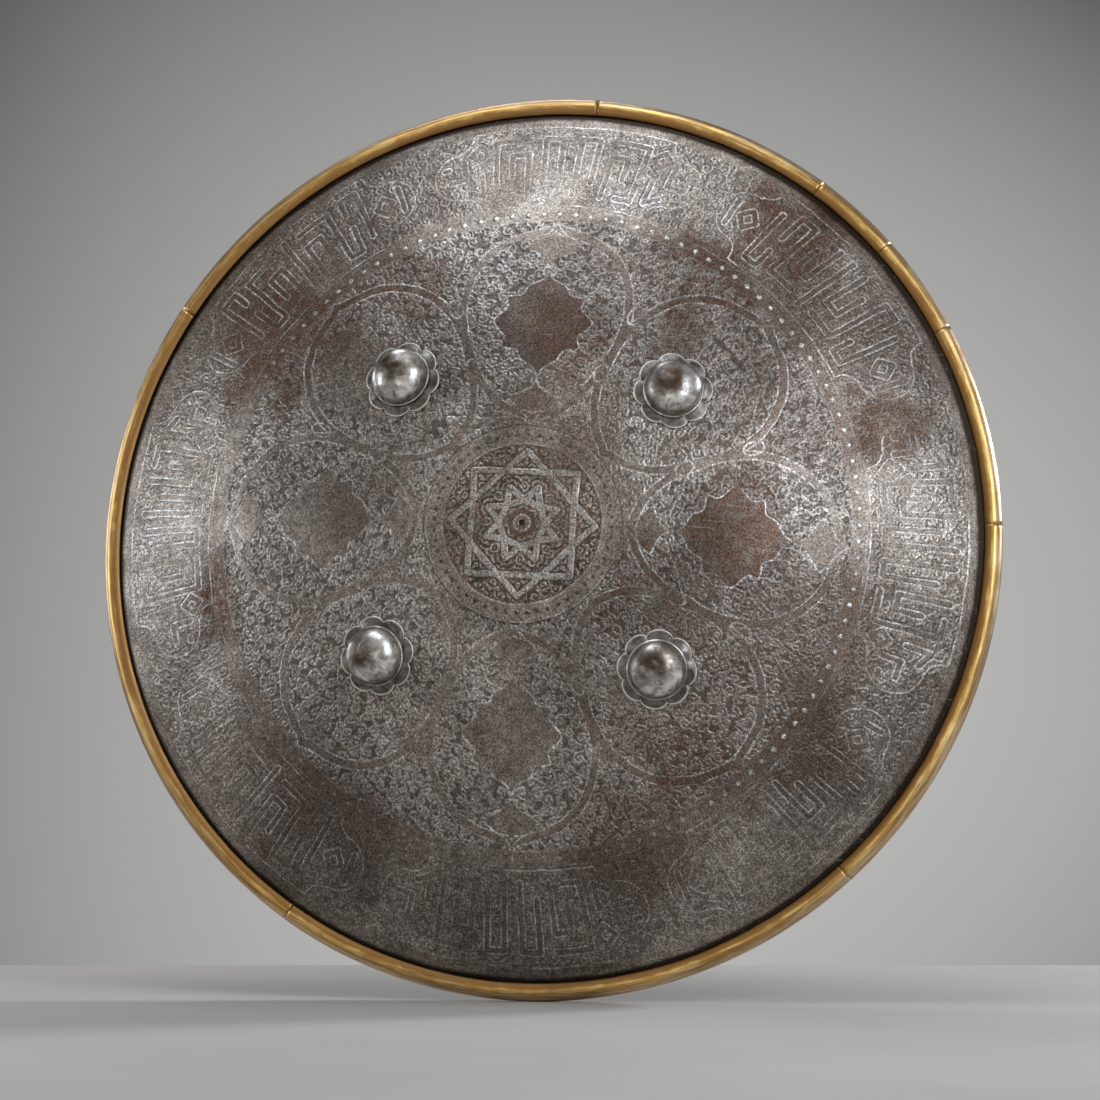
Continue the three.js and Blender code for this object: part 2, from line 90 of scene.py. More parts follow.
BOSS_RADIUS, BOSS_HEIGHT, BOSS_FOOT, BOSS_FLARE = 14.2, 12.5, 1.2, 0.5
PETALS, PETAL_TIP_RADIUS, PETAL_CUSP_RADIUS, PETAL_THICKNESS = 8, 19.4, 16.4, 1.4
# Each corner's place across and up, and how far its rosette is turned in degrees
CORNERS = {
    "upper_left": (-66.8, 69.6, 4), "upper_right": (66.8, 69.6, -8),
    "lower_left": (-68.7, -66.2, -12), "lower_right": (68.7, -66.2, 2),
}
ROSETTE_SEAT = -PLATE_THICKNESS / 2 - SEAT_GAP
BOSS_SEAT = ROSETTE_SEAT - PETAL_THICKNESS - SEAT_GAP
HIDE_THICKNESS = 2.0
HIDE_FRONT = PLATE_THICKNESS / 2 + BED_GAP
HIDE_BACK = HIDE_FRONT + HIDE_THICKNESS
WASHER_RADIUS, WASHER_THICKNESS = 8.2, 1.5
WASHER_SEAT = HIDE_BACK + BED_GAP
COLLAR_RADIUS, COLLAR_THICKNESS = 4.2, 1.5
COLLAR_SEAT = WASHER_SEAT + WASHER_THICKNESS + SEAT_GAP
COLLAR_BACK = COLLAR_SEAT + COLLAR_THICKNESS
SHANK_RADIUS, STEM_RADIUS, STEM_LENGTH = 2.4, 2.9, 6.0
EYE_RADIUS, EYE_WIRE_RADIUS = 5.2, 1.8
EYE_DEPTH = COLLAR_BACK + STEM_LENGTH + EYE_WIRE_RADIUS + EYE_RADIUS
RING_RADIUS, RING_WIRE_RADIUS, RING_SEAT_GAP = 12.0, 1.75, 0.45
RING_DROP = EYE_RADIUS - EYE_WIRE_RADIUS - RING_WIRE_RADIUS - RING_SEAT_GAP


def smooth(low, high, value):
    """0 before low, 1 past high, and an even slope between them."""
    share = np.clip((value - low) / (high - low), 0, 1)
    return share * share * (3 - 2 * share)


class Noise:
    """Smooth noise on a plane, from a lattice of random numbers."""

    SIZE = 64

    def __init__(self, seed):
        self.lattice = np.random.default_rng(seed).random((self.SIZE, self.SIZE)).astype(np.float32)

    def one(self, x, z):
        """One layer of the noise, with patches as large as a cell of the lattice."""
        i, j = np.floor(x).astype(int), np.floor(z).astype(int)
        s, t = x - i, z - j
        s, t = s * s * (3 - 2 * s), t * t * (3 - 2 * t)
        i, j = i % self.SIZE, j % self.SIZE
        k, m = (i + 1) % self.SIZE, (j + 1) % self.SIZE
        low = self.lattice[i, j] * (1 - s) + self.lattice[k, j] * s
        high = self.lattice[i, m] * (1 - s) + self.lattice[k, m] * s
        return low * (1 - t) + high * t

    def __call__(self, x, z, size, octaves=3):
        """From about 0 to 1, with patches of that size."""
        total, weight = 0, 0
        for octave in range(octaves):
            scale, share = 2 ** octave / size, 0.5 ** octave
            total = total + share * self.one(x * scale + 17 * octave, z * scale + 31 * octave)
            weight += share
        return total / weight


def spline(points, steps=8):
    """A smooth line through given points."""
    points = np.array(points, float)
    padded = np.vstack([2 * points[0] - points[1], points, 2 * points[-1] - points[-2]])
    t = np.linspace(0, 1, steps, endpoint=False)[:, None]
    found = []
    for a, b, c, d in zip(padded, padded[1:], padded[2:], padded[3:]):
        found.append(0.5 * (2 * b + (c - a) * t + (2 * a - 5 * b + 4 * c - d) * t ** 2
                            + (3 * b - a - 3 * c + d) * t ** 3))
    return np.vstack([*found, points[-1]])


# The bowl's form

def slope_at(radius):
    """How steeply the bowl falls away at a radius."""
    return np.arctan(2 * BOWL_RISE * radius / PLATE_RADIUS ** 2)


def bowl_point(across, up, depth):
    """Points that lie behind the plate's middle surface by the depth, square to it."""
    radius = np.hypot(across, up)
    slope = slope_at(radius)
    share = 1 - depth * np.sin(slope) / np.maximum(radius, 1e-6)
    level = EDGE_Y - BOWL_RISE * (1 - (radius / PLATE_RADIUS) ** 2) + depth * np.cos(slope)
    return np.stack([across * share, level, up * share], -1)


def corner_frame(name):
    """The seat of a corner's bolt on the plate's middle surface, and the turn from +Y to its normal."""
    across, up, _ = CORNERS[name]
    radius = math.hypot(across, up)
    slope = float(slope_at(radius))
    normal = Vector((-math.sin(slope) * across / radius, math.cos(slope), -math.sin(slope) * up / radius))
    seat = Vector(bowl_point(np.array(across), np.array(up), 0.0))
    return seat, Vector((0, 1, 0)).rotation_difference(normal)


# Mesh making

# The frames and steps a cloth is solved for, its stiffness, and how many of its points a point follows
CLOTH_FRAMES, CLOTH_QUALITY, CLOTH_STIFFNESS, CLOTH_NEIGHBOURS = 20, 6, 3.0, 6


def make_mesh(name, points, *face_sets):
    """A mesh from points in millimetres and arrays of faces, each with its own number of corners."""
    mesh = bpy.data.meshes.new(name)
    mesh.vertices.add(len(points))
    mesh.vertices.foreach_set("co", (np.asarray(points) * MM).astype(np.float32).ravel())
    face_sets = [np.asarray(faces, np.int32) for faces in face_sets if len(faces)]
    corners = np.concatenate([faces.ravel() for faces in face_sets])
    sizes = np.concatenate([np.full(len(faces), faces.shape[1]) for faces in face_sets])
    mesh.loops.add(len(corners))
    mesh.loops.foreach_set("vertex_index", corners)
    mesh.polygons.add(len(sizes))
    mesh.polygons.foreach_set("loop_start", np.concatenate([[0], np.cumsum(sizes)[:-1]]).astype(np.int32))
    mesh.update(calc_edges=True)
    mesh.validate()
    mesh.shade_smooth()
    return mesh


def piece(mesh, finish, body, replaces=()):
    """A finished piece, named after its mesh, that rides on a body of the frame."""
    made = bpy.data.objects.new(mesh.name, mesh)
    bpy.context.scene.collection.objects.link(made)
    mesh.materials.append(finish)
    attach(made, body)
    if replaces:
        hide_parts(*replaces)
    return made


def skin(rings, closed_row=False, capped=True):
    """Points and faces of a skin over rows of points that each go round once."""
    rings = np.asarray(rings, float)
    rows, sides = rings.shape[:2]
    spans = rows if closed_row else rows - 1
    i, j = np.meshgrid(np.arange(spans), np.arange(sides), indexing="ij")
    here, after = i * sides, ((i + 1) % rows) * sides
    k = (j + 1) % sides
    quads = np.stack([here + j, here + k, after + k, after + j], -1).reshape(-1, 4)
    points, fans = rings.reshape(-1, 3), []
    if capped and not closed_row:
        for row, order in ((0, (1, 0)), (rows - 1, (0, 1))):
            middle = len(points)
            points = np.vstack([points, rings[row].mean(0)])
            around = row * sides + np.arange(sides)
            pair = (around, np.roll(around, -1))
            fans.append(np.stack([np.full(sides, middle), pair[order[0]], pair[order[1]]], -1))
    return points, quads, (np.vstack(fans) if fans else [])


def round_turn(count):
    """Evenly spaced angles once round."""
    return np.arange(count) / count * TURN


def turned(profile, sides):
    """Rows of points of a shape turned about the Y axis, from radius and depth."""
    angle = round_turn(sides)
    return [np.stack([radius * np.sin(angle), np.full(sides, depth), radius * np.cos(angle)], -1)
            for radius, depth in profile]


def loop_points(middle, first, second, turn, wide, high):
    """Points once round a middle: wide along the first way, high along the second."""
    return middle + np.outer(np.cos(turn) * wide, first) + np.outer(np.sin(turn) * high, second)


def closed_mesh(name, points, *face_sets):
    """A closed mesh whose faces point out."""
    mesh = make_mesh(name, points, *face_sets)
    work = bmesh.new()
    work.from_mesh(mesh)
    bmesh.ops.recalc_face_normals(work, faces=work.faces)
    work.to_mesh(mesh)
    work.free()
    mesh.shade_smooth()
    return mesh


def at_corner(name, points):
    """Moves points from a corner's own axes to its seat on the plate."""
    seat, tilt = corner_frame(name)
    turn = np.array(tilt.to_matrix())
    return np.asarray(points, float) @ turn.T + np.array(seat)


def blown_up(name, rows, held, voxel, pressure, most):
    """Cloth blown up from inside a closed form. Returns a function that moves points along with its skin.

    held says for each row whether it is fixed, and most is how far a point may move, in millimetres.
    """
    points, quads, fans = skin(rows)
    scene = bpy.context.scene
    form = bpy.data.objects.new(name + "_cloth", closed_mesh(name + "_start", points, quads, fans))
    scene.collection.objects.link(form)
    remesh = form.modifiers.new("remesh", "REMESH")
    remesh.mode = "VOXEL"
    remesh.voxel_size = voxel * MM
    start = form.data
    form.data = bpy.data.meshes.new_from_object(form.evaluated_get(bpy.context.evaluated_depsgraph_get()))
    form.modifiers.clear()
    before = np.empty(len(form.data.vertices) * 3)
    form.data.vertices.foreach_get("co", before)
    before = before.reshape(-1, 3) / MM

    fixed = np.append(np.repeat(held, np.shape(rows)[1]), [True, True])
    nearest = tree_of(points)
    group = form.vertex_groups.new(name="held")
    group.add([i for i, point in enumerate(before) if fixed[nearest.find(point)[1]]], 1.0, "REPLACE")
    cloth = form.modifiers.new("cloth", "CLOTH")
    cloth.settings.vertex_group_mass = "held"
    cloth.settings.quality = CLOTH_QUALITY
    cloth.settings.use_pressure = True
    cloth.settings.uniform_pressure_force = pressure
    cloth.settings.effector_weights.gravity = 0
    cloth.settings.tension_stiffness = cloth.settings.compression_stiffness = CLOTH_STIFFNESS
    cloth.settings.shear_stiffness = cloth.settings.bending_stiffness = CLOTH_STIFFNESS / 10
    cloth.point_cache.frame_start, cloth.point_cache.frame_end = 1, CLOTH_FRAMES
    for frame in range(1, CLOTH_FRAMES + 1):
        scene.frame_set(frame)
    solved = form.evaluated_get(bpy.context.evaluated_depsgraph_get())
    after = np.empty(before.size)
    solved.to_mesh().vertices.foreach_get("co", after)
    solved.to_mesh_clear()
    scene.frame_set(1)
    moves = after.reshape(-1, 3) / MM - before
    length = np.linalg.norm(moves, axis=1)
    moves *= (np.minimum(length, most) / np.maximum(length, 1e-6))[:, None]
    finished = form.data
    bpy.data.objects.remove(form)
    bpy.data.meshes.remove(finished)
    bpy.data.meshes.remove(start)
    skin_tree = tree_of(before)

    def moved(points):
        points = np.array(points, float)
        shift = np.empty_like(points)
        for i, point in enumerate(points):
            found = skin_tree.find_n(point, CLOTH_NEIGHBOURS)
            weight = np.array([1 / (0.4 * voxel + away) ** 3 for _, _, away in found])
            shift[i] = weight @ moves[[index for _, index, _ in found]] / weight.sum()
        return points + shift

    return moved


def tree_of(points):
    """A tree that finds the nearest of the points."""
    tree = kdtree.KDTree(len(points))
    for index, point in enumerate(points):
        tree.insert(point, index)
    tree.balance()
    return tree


# Materials

class Graph:
    """A tree of shader nodes, and short ways to add to it."""

    def __init__(self, tree):
        self.tree = tree

    def node(self, kind, **settings):
        made = self.tree.nodes.new(kind)
        for name, value in settings.items():
            setattr(made, name, value)
        return made

    def feed(self, socket, value):
        if isinstance(value, bpy.types.NodeSocket):
            self.tree.links.new(value, socket)
        elif socket.type == "RGBA" and len(value) == 3:
            socket.default_value = (*value, 1)
        else:
            socket.default_value = value

    def fill(self, made, **values):
        """Feeds the inputs of a node by their names, with spaces for underscores."""
        for name, value in values.items():
            self.feed(made.inputs[name.replace("_", " ")], value)

    def math(self, operation, a, b=0.0):
        made = self.node("ShaderNodeMath", operation=operation)
        for socket, value in zip(made.inputs, (a, b)):
            self.feed(socket, value)
        return made.outputs["Value"]

    def plus(self, a, b):
        return self.math("ADD", a, b)

    def minus(self, a, b):
        return self.math("SUBTRACT", a, b)

    def times(self, a, b):
        return self.math("MULTIPLY", a, b)

    def larger(self, a, b):
        return self.math("MAXIMUM", a, b)

    def span(self, value, low, high, to_low=0.0, to_high=1.0, **settings):
        """Value from low to high, turned into to_low to to_high. Smooth if the settings say nothing else."""
        made = self.node("ShaderNodeMapRange", **{"interpolation_type": "SMOOTHSTEP", **settings})
        self.fill(made, Value=value, From_Min=low, From_Max=high, To_Min=to_low, To_Max=to_high)
        return made.outputs["Result"]


class Finish(Graph):
    """A procedural material. Its patterns sit on the piece at rest, in metres."""

    def __init__(self, name, **sockets):
        self.material = bpy.data.materials.new(name)
        self.material.use_nodes = True
        super().__init__(self.material.node_tree)
        self.shader = self.tree.nodes["Principled BSDF"]
        self.place = self.node("ShaderNodeTexCoord").outputs["Object"]
        self.set(**sockets)

    def set(self, **sockets):
        for name, value in sockets.items():
            self.feed(self.shader.inputs[name.replace("_", " ").title().replace("Ior", "IOR")], value)

    def stretched(self, scale):
        """The place, scaled differently along each axis."""
        made = self.node("ShaderNodeMapping")
        self.fill(made, Vector=self.place, Scale=scale)
        return made.outputs["Vector"]

    def noise(self, size, detail=3.0, roughness=0.55, distortion=0.0, place=None):
        """Noise with patches of that size in millimetres, from 0 to 1."""
        made = self.node("ShaderNodeTexNoise")
        self.fill(made, Vector=place or self.place, Scale=1 / (size * MM), Detail=detail, Roughness=roughness,
                  Distortion=distortion)
        return made.outputs["Fac"]

    def cells(self, size):
        """The distance to the middle of the nearest cell, for a pebbled grain."""
        made = self.node("ShaderNodeTexVoronoi", feature="F1")
        self.fill(made, Vector=self.place, Scale=1 / (size * MM))
        return made.outputs["Distance"]

    def attribute(self, name):
        return self.node("ShaderNodeAttribute", attribute_name=name).outputs["Fac"]

    def mix(self, share, a, b, blend="MIX"):
        made = self.node("ShaderNodeMix", data_type="RGBA", blend_type=blend)
        self.fill(made, Factor=share, A=a, B=b)
        return [socket for socket in made.outputs if socket.type == "RGBA"][0]

    def bump(self, height, depth):
        """A fine relief of that depth in millimetres."""
        made = self.node("ShaderNodeBump")
        self.fill(made, Height=height, Distance=depth * MM)
        return made.outputs["Normal"]


# The ornament on the face

SECTORS = 8
SECTOR_ANGLE = TURN / SECTORS
HOLE_RING_RADIUS = 4.0
ROUNDEL_INNER, ROUNDEL_OUTER, ROUNDEL_DOTS = 39.2, 47.6, 52
BORDER_INNER, BORDER_OUTER, BORDER_DOTS = 155.4, 162.4, 126
BAND_INNER, BAND_OUTER = 164.2, 208.6
BAND_MIDDLE = (BAND_INNER + BAND_OUTER) / 2
MEDALLION_CENTRE, MEDALLION_BAND = 101.0, 4.2
COLLARS = [(82.5, 1.5, 3.0), (116.0, 1.6, 3.2)]
BODY_END, LOBE_END = math.radians(16.2), math.radians(20.7)

# Half outlines, from one tip to the other: across and along a ray from the middle
MEDALLION_HALF = [(0, 49.2), (3.5, 51.2), (10, 53.2), (19, 58.5), (28, 68), (33.2, 78), (38.5, 88), (42, 100),
                  (43, 110), (40.5, 124), (33, 137), (22, 146), (10, 150.6), (3.5, 152.6), (0, 155.2)]
CARTOUCHE_HALF = [(0, 129), (2.5, 124.5), (9, 120.5), (12, 115.5), (19, 114), (18.2, 108.5), (24.5, 101),
                  (18.2, 93.5), (19, 88), (12, 86.5), (9, 81.5), (2.5, 77.5), (0, 73)]
PALMETTE_IN_HALF = [(0, 71.5), (2.2, 67.5), (6.5, 65), (11.5, 62.5), (9, 58.5), (3.5, 53.5), (0, 50)]
PALMETTE_OUT_HALF = [(0, 154), (3.5, 149.5), (9.5, 145.5), (13, 141.5), (8, 138), (3, 134.5), (0, 130.5)]

# How far the scrollwork is turned in each sector, so that no two look alike
SCROLL_TURNS = [0.4, 1.3, 2.2, 3.5, 4.1, 5.2, 6.0, 0.9]

# Brown stains on the face: across, up, how far they reach, and how strong they are
STAINS = [
    (78, 128, 34, 1.0), (110, 158, 30, 1.0), (60, 84, 20, 0.8), (104, 4, 36, 0.9), (60, -16, 22, 0.8),
    (-158, -42, 24, 1.0), (-134, 92, 42, 1.0), (140, -86, 28, 0.8), (84, -108, 26, 1.0), (12, 92, 30, 0.9),
    (30, 42, 20, 0.7), (-96, -136, 40, 0.6), (-70, 116, 26, 0.9), (168, 62, 26, 0.9), (-84, 12, 20, 0.35),
    (60, -150, 36, 0.6), (-30, 176, 22, 0.4), (150, -30, 32, 0.6), (110, -60, 86, 0.62), (120, 90, 78, 0.60),
    (-120, 120, 78, 0.5), (20, 104, 66, 0.45), (-110, -110, 80, 0.3),
]
# How blackened the plain cartouche is in each sector, clockwise from the top
CARTOUCHE_SHARES = [1.0, 0, 0.1, 0, 0.12, 0, 0.05, 0]


# How far the chaser's hand strays and over what length, slowly and quickly, in mm
STRAY, STRAY_LENGTH, SHAKE, SHAKE_LENGTH = 1.1, 26, 0.5, 5


def line(distance, width):
    """A rounded line of that width, 1 along its middle."""
    return np.clip(1.15 - (2 * distance / width) ** 2, 0, 1)


class Outline:
    """A closed outline, alike on both sides of its upright axis, given by half its points."""

    def __init__(self, centre, half_points, steps=8):
        self.centre = centre
        points = spline(half_points, steps)
        across, along = points[:, 0], points[:, 1] - centre
        angle = np.arctan2(across, along)
        order = np.argsort(angle)
        self.angle, self.radius = angle[order], np.hypot(across, along)[order]
        self.slope = np.gradient(self.radius, self.angle + np.arange(len(angle)) * 1e-7)

    def distance(self, across, along):
        """About how far outside the outline a point lies, less than zero inside."""
        angle = np.arctan2(np.abs(across), along - self.centre)
        radius = np.interp(angle, self.angle, self.radius)
        slope = np.interp(angle, self.angle, self.slope)
        tilt = radius / np.sqrt(radius ** 2 + np.minimum(slope ** 2, (2.2 * radius) ** 2))
        return (np.hypot(across, along - self.centre) - radius) * tilt


class Tile:
    """A square patch that repeats, and holds how far each spot is from the strokes drawn on it."""

    def __init__(self, side, pitch):
        self.side, self.count = side, int(round(side / pitch))
        self.pitch = side / self.count
        self.gap = np.full((self.count, self.count), 9.0, np.float32)

    def stroke(self, points, half_widths, reach=1.2):
        """Draws a line through the points, as wide at each as the half widths say."""
        points = np.asarray(points, float)
        half_widths = np.broadcast_to(half_widths, len(points))
        low = np.floor((points.min(0) - reach) / self.pitch).astype(int)
        high = np.ceil((points.max(0) + reach) / self.pitch).astype(int)
        i, j = np.arange(low[0], high[0] + 1), np.arange(low[1], high[1] + 1)
        x, z = (i * self.pitch)[:, None, None], (j * self.pitch)[None, :, None]
        start, step = points[:-1], np.diff(points, axis=0)
        length = np.maximum((step ** 2).sum(1), 1e-9)
        share = np.clip(((x - start[:, 0]) * step[:, 0] + (z - start[:, 1]) * step[:, 1]) / length, 0, 1)
        away = np.hypot(x - start[:, 0] - share * step[:, 0], z - start[:, 1] - share * step[:, 1])
        gap = (away - half_widths[:-1] - share * np.diff(half_widths)).min(2)
        window = np.ix_(i % self.count, j % self.count)
        self.gap[window] = np.minimum(self.gap[window], gap)

    def at(self, x, z):
        """The gap to the nearest stroke at each point."""
        u, v = x / self.pitch, z / self.pitch
        i, j = np.floor(u).astype(int), np.floor(v).astype(int)
        s, t = (u - i).astype(np.float32), (v - j).astype(np.float32)
        i, j = i % self.count, j % self.count
        k, m = (i + 1) % self.count, (j + 1) % self.count
        gap = self.gap
        return (gap[i, j] * (1 - s) + gap[k, j] * s) * (1 - t) + (gap[i, m] * (1 - s) + gap[k, m] * s) * t


def scroll_tile(cell, side=112.0, pitch=0.2, seed=4):
    """Small curling stems with leaves, packed close, as a chaser fills a ground."""
    tile = Tile(side, pitch)
    random = np.random.default_rng(seed)
    count = int(round(side / cell))
    step = side / count
    for row in range(count):
        for column in range(count):
            centre = (np.array([column + 0.5 * (row % 2), row]) + random.uniform(-0.17, 0.17, 2)) * step
            start, hand = random.uniform(0, TURN), random.choice([-1, 1])
            turn = np.linspace(0, 1, 20)
            angle = start + hand * turn * TURN * random.uniform(1.05, 1.4)
            radius = step * random.uniform(0.36, 0.45) * (1 - turn) ** 0.75 + 0.32
            curl = centre + radius[:, None] * np.stack([np.cos(angle), np.sin(angle)], 1)
            width = 0.46 + 0.16 * np.sin(turn * math.pi) + 0.3 * smooth(0.85, 1.0, turn)
            tile.stroke(curl, width)
            # the tail that joins the next curl
            way = np.array([math.cos(start - hand * 0.9), math.sin(start - hand * 0.9)])
            tail = spline([curl[0], curl[0] + way * 1.4 + random.uniform(-0.4, 0.4, 2),
                           curl[0] + way * 2.5 + random.uniform(-1, 1, 2)], 5)
            tile.stroke(tail, np.linspace(0.38, 0.22, len(tail)))
            for _ in range(random.integers(3, 7)):
                base = curl[int(random.uniform(0.05, 0.6) * 19)]
                out = (base - centre) / max(np.hypot(*(base - centre)), 0.1)
                side_way = np.array([-out[1], out[0]]) * hand
                tip = base + out * random.uniform(1.1, 2.0) + side_way * random.uniform(-1.1, 1.1)
                mid = (base + tip) / 2 + side_way * random.uniform(-0.3, 0.3)
                tile.stroke([base, mid, tip], [0.28, random.uniform(0.5, 0.74), 0.1])
    return tile


def away_from(across, along, lines, reach=3.0):
    """The distance to the nearest of some straight-sided lines, no more than reach."""
    found = np.full(across.shape, reach, np.float32)
    for points in lines:
        for (x0, z0), (x1, z1) in zip(points, points[1:]):
            low_x, high_x = min(x0, x1) - reach, max(x0, x1) + reach
            low_z, high_z = min(z0, z1) - reach, max(z0, z1) + reach
            inside = (across > low_x) & (across < high_x) & (along > low_z) & (along < high_z)
            near = np.flatnonzero(inside)
            x, z = across[near], along[near]
            dx, dz = x1 - x0, z1 - z0
            share = np.clip(((x - x0) * dx + (z - z0) * dz) / max(dx * dx + dz * dz, 1e-9), 0, 1)
            found[near] = np.minimum(found[near], np.hypot(x - x0 - share * dx, z - z0 - share * dz))
    return found


def rounded_block(along, across, half_along, half_across, corner):
    """How far a point lies outside a block with rounded corners."""
    past_along = np.maximum(along - half_along + corner, 0)
    past_across = np.maximum(across - half_across + corner, 0)
    return np.hypot(past_along, past_across) - corner


def cartouche_distance(angle, radius):
    """How far outside a long cartouche of the outer band a point lies."""
    half = (BAND_OUTER - BAND_INNER) / 2
    along, across = np.abs(angle) * BAND_MIDDLE, np.abs(radius - BAND_MIDDLE)
    body_end, lobe_end = BODY_END * BAND_MIDDLE, LOBE_END * BAND_MIDDLE
    body = rounded_block(along, across, body_end, half, 9.0)
    body = np.maximum(body, np.maximum(along - body_end, across - half))
    bite = 7.5 - np.hypot(along - body_end - 1.0, across - half + 1.0)
    lobe = rounded_block(along, across, lobe_end, 13.0, 13.0)
    return np.minimum(np.maximum(body, bite), np.maximum(lobe, -along + body_end - 6))


def strapwork(other):
    """Centre lines of the geometric strapwork in half of a long cartouche, out from its middle."""
    if other:
        return [[(0, -16.5), (0, 16.5)], [(8, 16.5), (8, -5), (16, -5), (16, 9)],
                [(8, -14), (24, -14), (24, 16.5), (32, 16.5), (32, 2)],
                [(32, -7), (32, -16.5), (40, -16.5), (40, 12)],
                [(51.5, 5), (56, 0), (51.5, -5), (47, 0), (51.5, 5)], [(60.5, 7), (60.5, -7)]]
    return [[(4.2, -16.5), (4.2, 15.5), (12.4, 15.5), (12.4, -9)], [(20, -16.5), (20, 7), (28, 7), (28, -5)],
            [(20, 15.5), (36, 15.5), (36, -15.5), (27.5, -15.5)],
            [(43.5, 15), (48, 10.5), (43.5, 6), (39.6, 10.5), (43.5, 15)],
            [(43.5, -2), (43.5, -14), (50.5, -10)],
            [(51.5, 8), (51.5, -2), (59.5, -2)], [(59.5, 6), (61.5, 6)]]


def star_lines():
    """Centre lines of one eighth of the star in the middle."""
    def at(radius, degrees):
        turn = math.radians(degrees)
        return radius * math.sin(turn), radius * math.cos(turn)
    return [[at(35.4, 0), at(35.4, 90)], [at(35.4, 45), at(35.4, -45)], [at(11.5, 0), at(11.5, 45)],
            [at(11.5, 0), at(18.6, 22.5)], [at(11.5, 45), at(18.6, 22.5)]]


def dots_distance(angle, radius, ring, count, size):
    """How far outside the nearest dot of a ring of dots a point lies."""
    pitch = TURN / count
    off = (np.round(angle / pitch) * pitch - angle) * ring
    return np.hypot(off, radius - ring) - size


def band_marks(tile, radius, angle, local, sector):
    """The long cartouches of the outer band with their strapwork, and small leaves in and between them."""
    on_axis = sector % 2 == 0
    edge = cartouche_distance(local, radius)
    inside = edge < -0.8
    over, out = np.abs(local) * BAND_MIDDLE, (radius - BAND_MIDDLE) * np.where(sector % 4 < 2, 1, -1)
    straps = np.where(on_axis, away_from(over, out, strapwork(False)), away_from(over, out, strapwork(True)))
    rings = dots_distance(local, radius, BAND_MIDDLE + 14.5 * np.where(on_axis, -1, 1), 62, 1.5)
    lines = np.maximum.reduce([line(edge, 0.7) * (radius > BORDER_OUTER) * (radius < BAND_OUTER + 0.6),
                               line(straps - 1.55, 0.74) * inside,
                               line(rings, 0.55) * inside * (straps > 3.0)])
    leaves = smooth(0.05, -0.25, tile.at(radius + 31, angle * BAND_MIDDLE))
    small = leaves * inside * smooth(2.2, 2.6, straps) * smooth(0.9, 1.3, np.abs(rings))
    between = (edge > 1.2) & (radius > BAND_INNER + 0.8) & (radius < BAND_OUTER - 0.6)
    return lines, np.maximum(small, leaves * between * 0.8), inside, between


def star_marks(tile, radius, angle, across, along):
    """The star in the middle: its lines, the leaves that fill its ground, and its straps."""
    eighth = np.abs((angle + SECTOR_ANGLE / 2) % SECTOR_ANGLE - SECTOR_ANGLE / 2)
    star = away_from(radius * np.sin(eighth), radius * np.cos(eighth), star_lines())
    middle = radius < ROUNDEL_INNER - 0.8
    outside_hole = radius > HOLE_RING_RADIUS + 1
    lines = 0.6 * line(star - 1.35, 0.5) * middle * outside_hole
    fill = smooth(0.05, -0.25, tile.at(np.abs(across) + 50, along))
    small = fill * middle * smooth(2.1, 2.5, star) * (radius > 7)
    return lines, small, smooth(1.6, 1.3, star) * middle * outside_hole, middle


def stained(x, z, stain, patches):
    """The stain so far, with the brown patches added to it."""
    ragged = 1.2 * (patches(x, z, 16, 4) - 0.5)
    for at_x, at_z, reach, strength in STAINS:
        away = np.hypot(x - at_x, z - at_z) / reach
        stain = np.maximum(stain, strength * smooth(1.15, 0.45, away + ragged))
    return stain


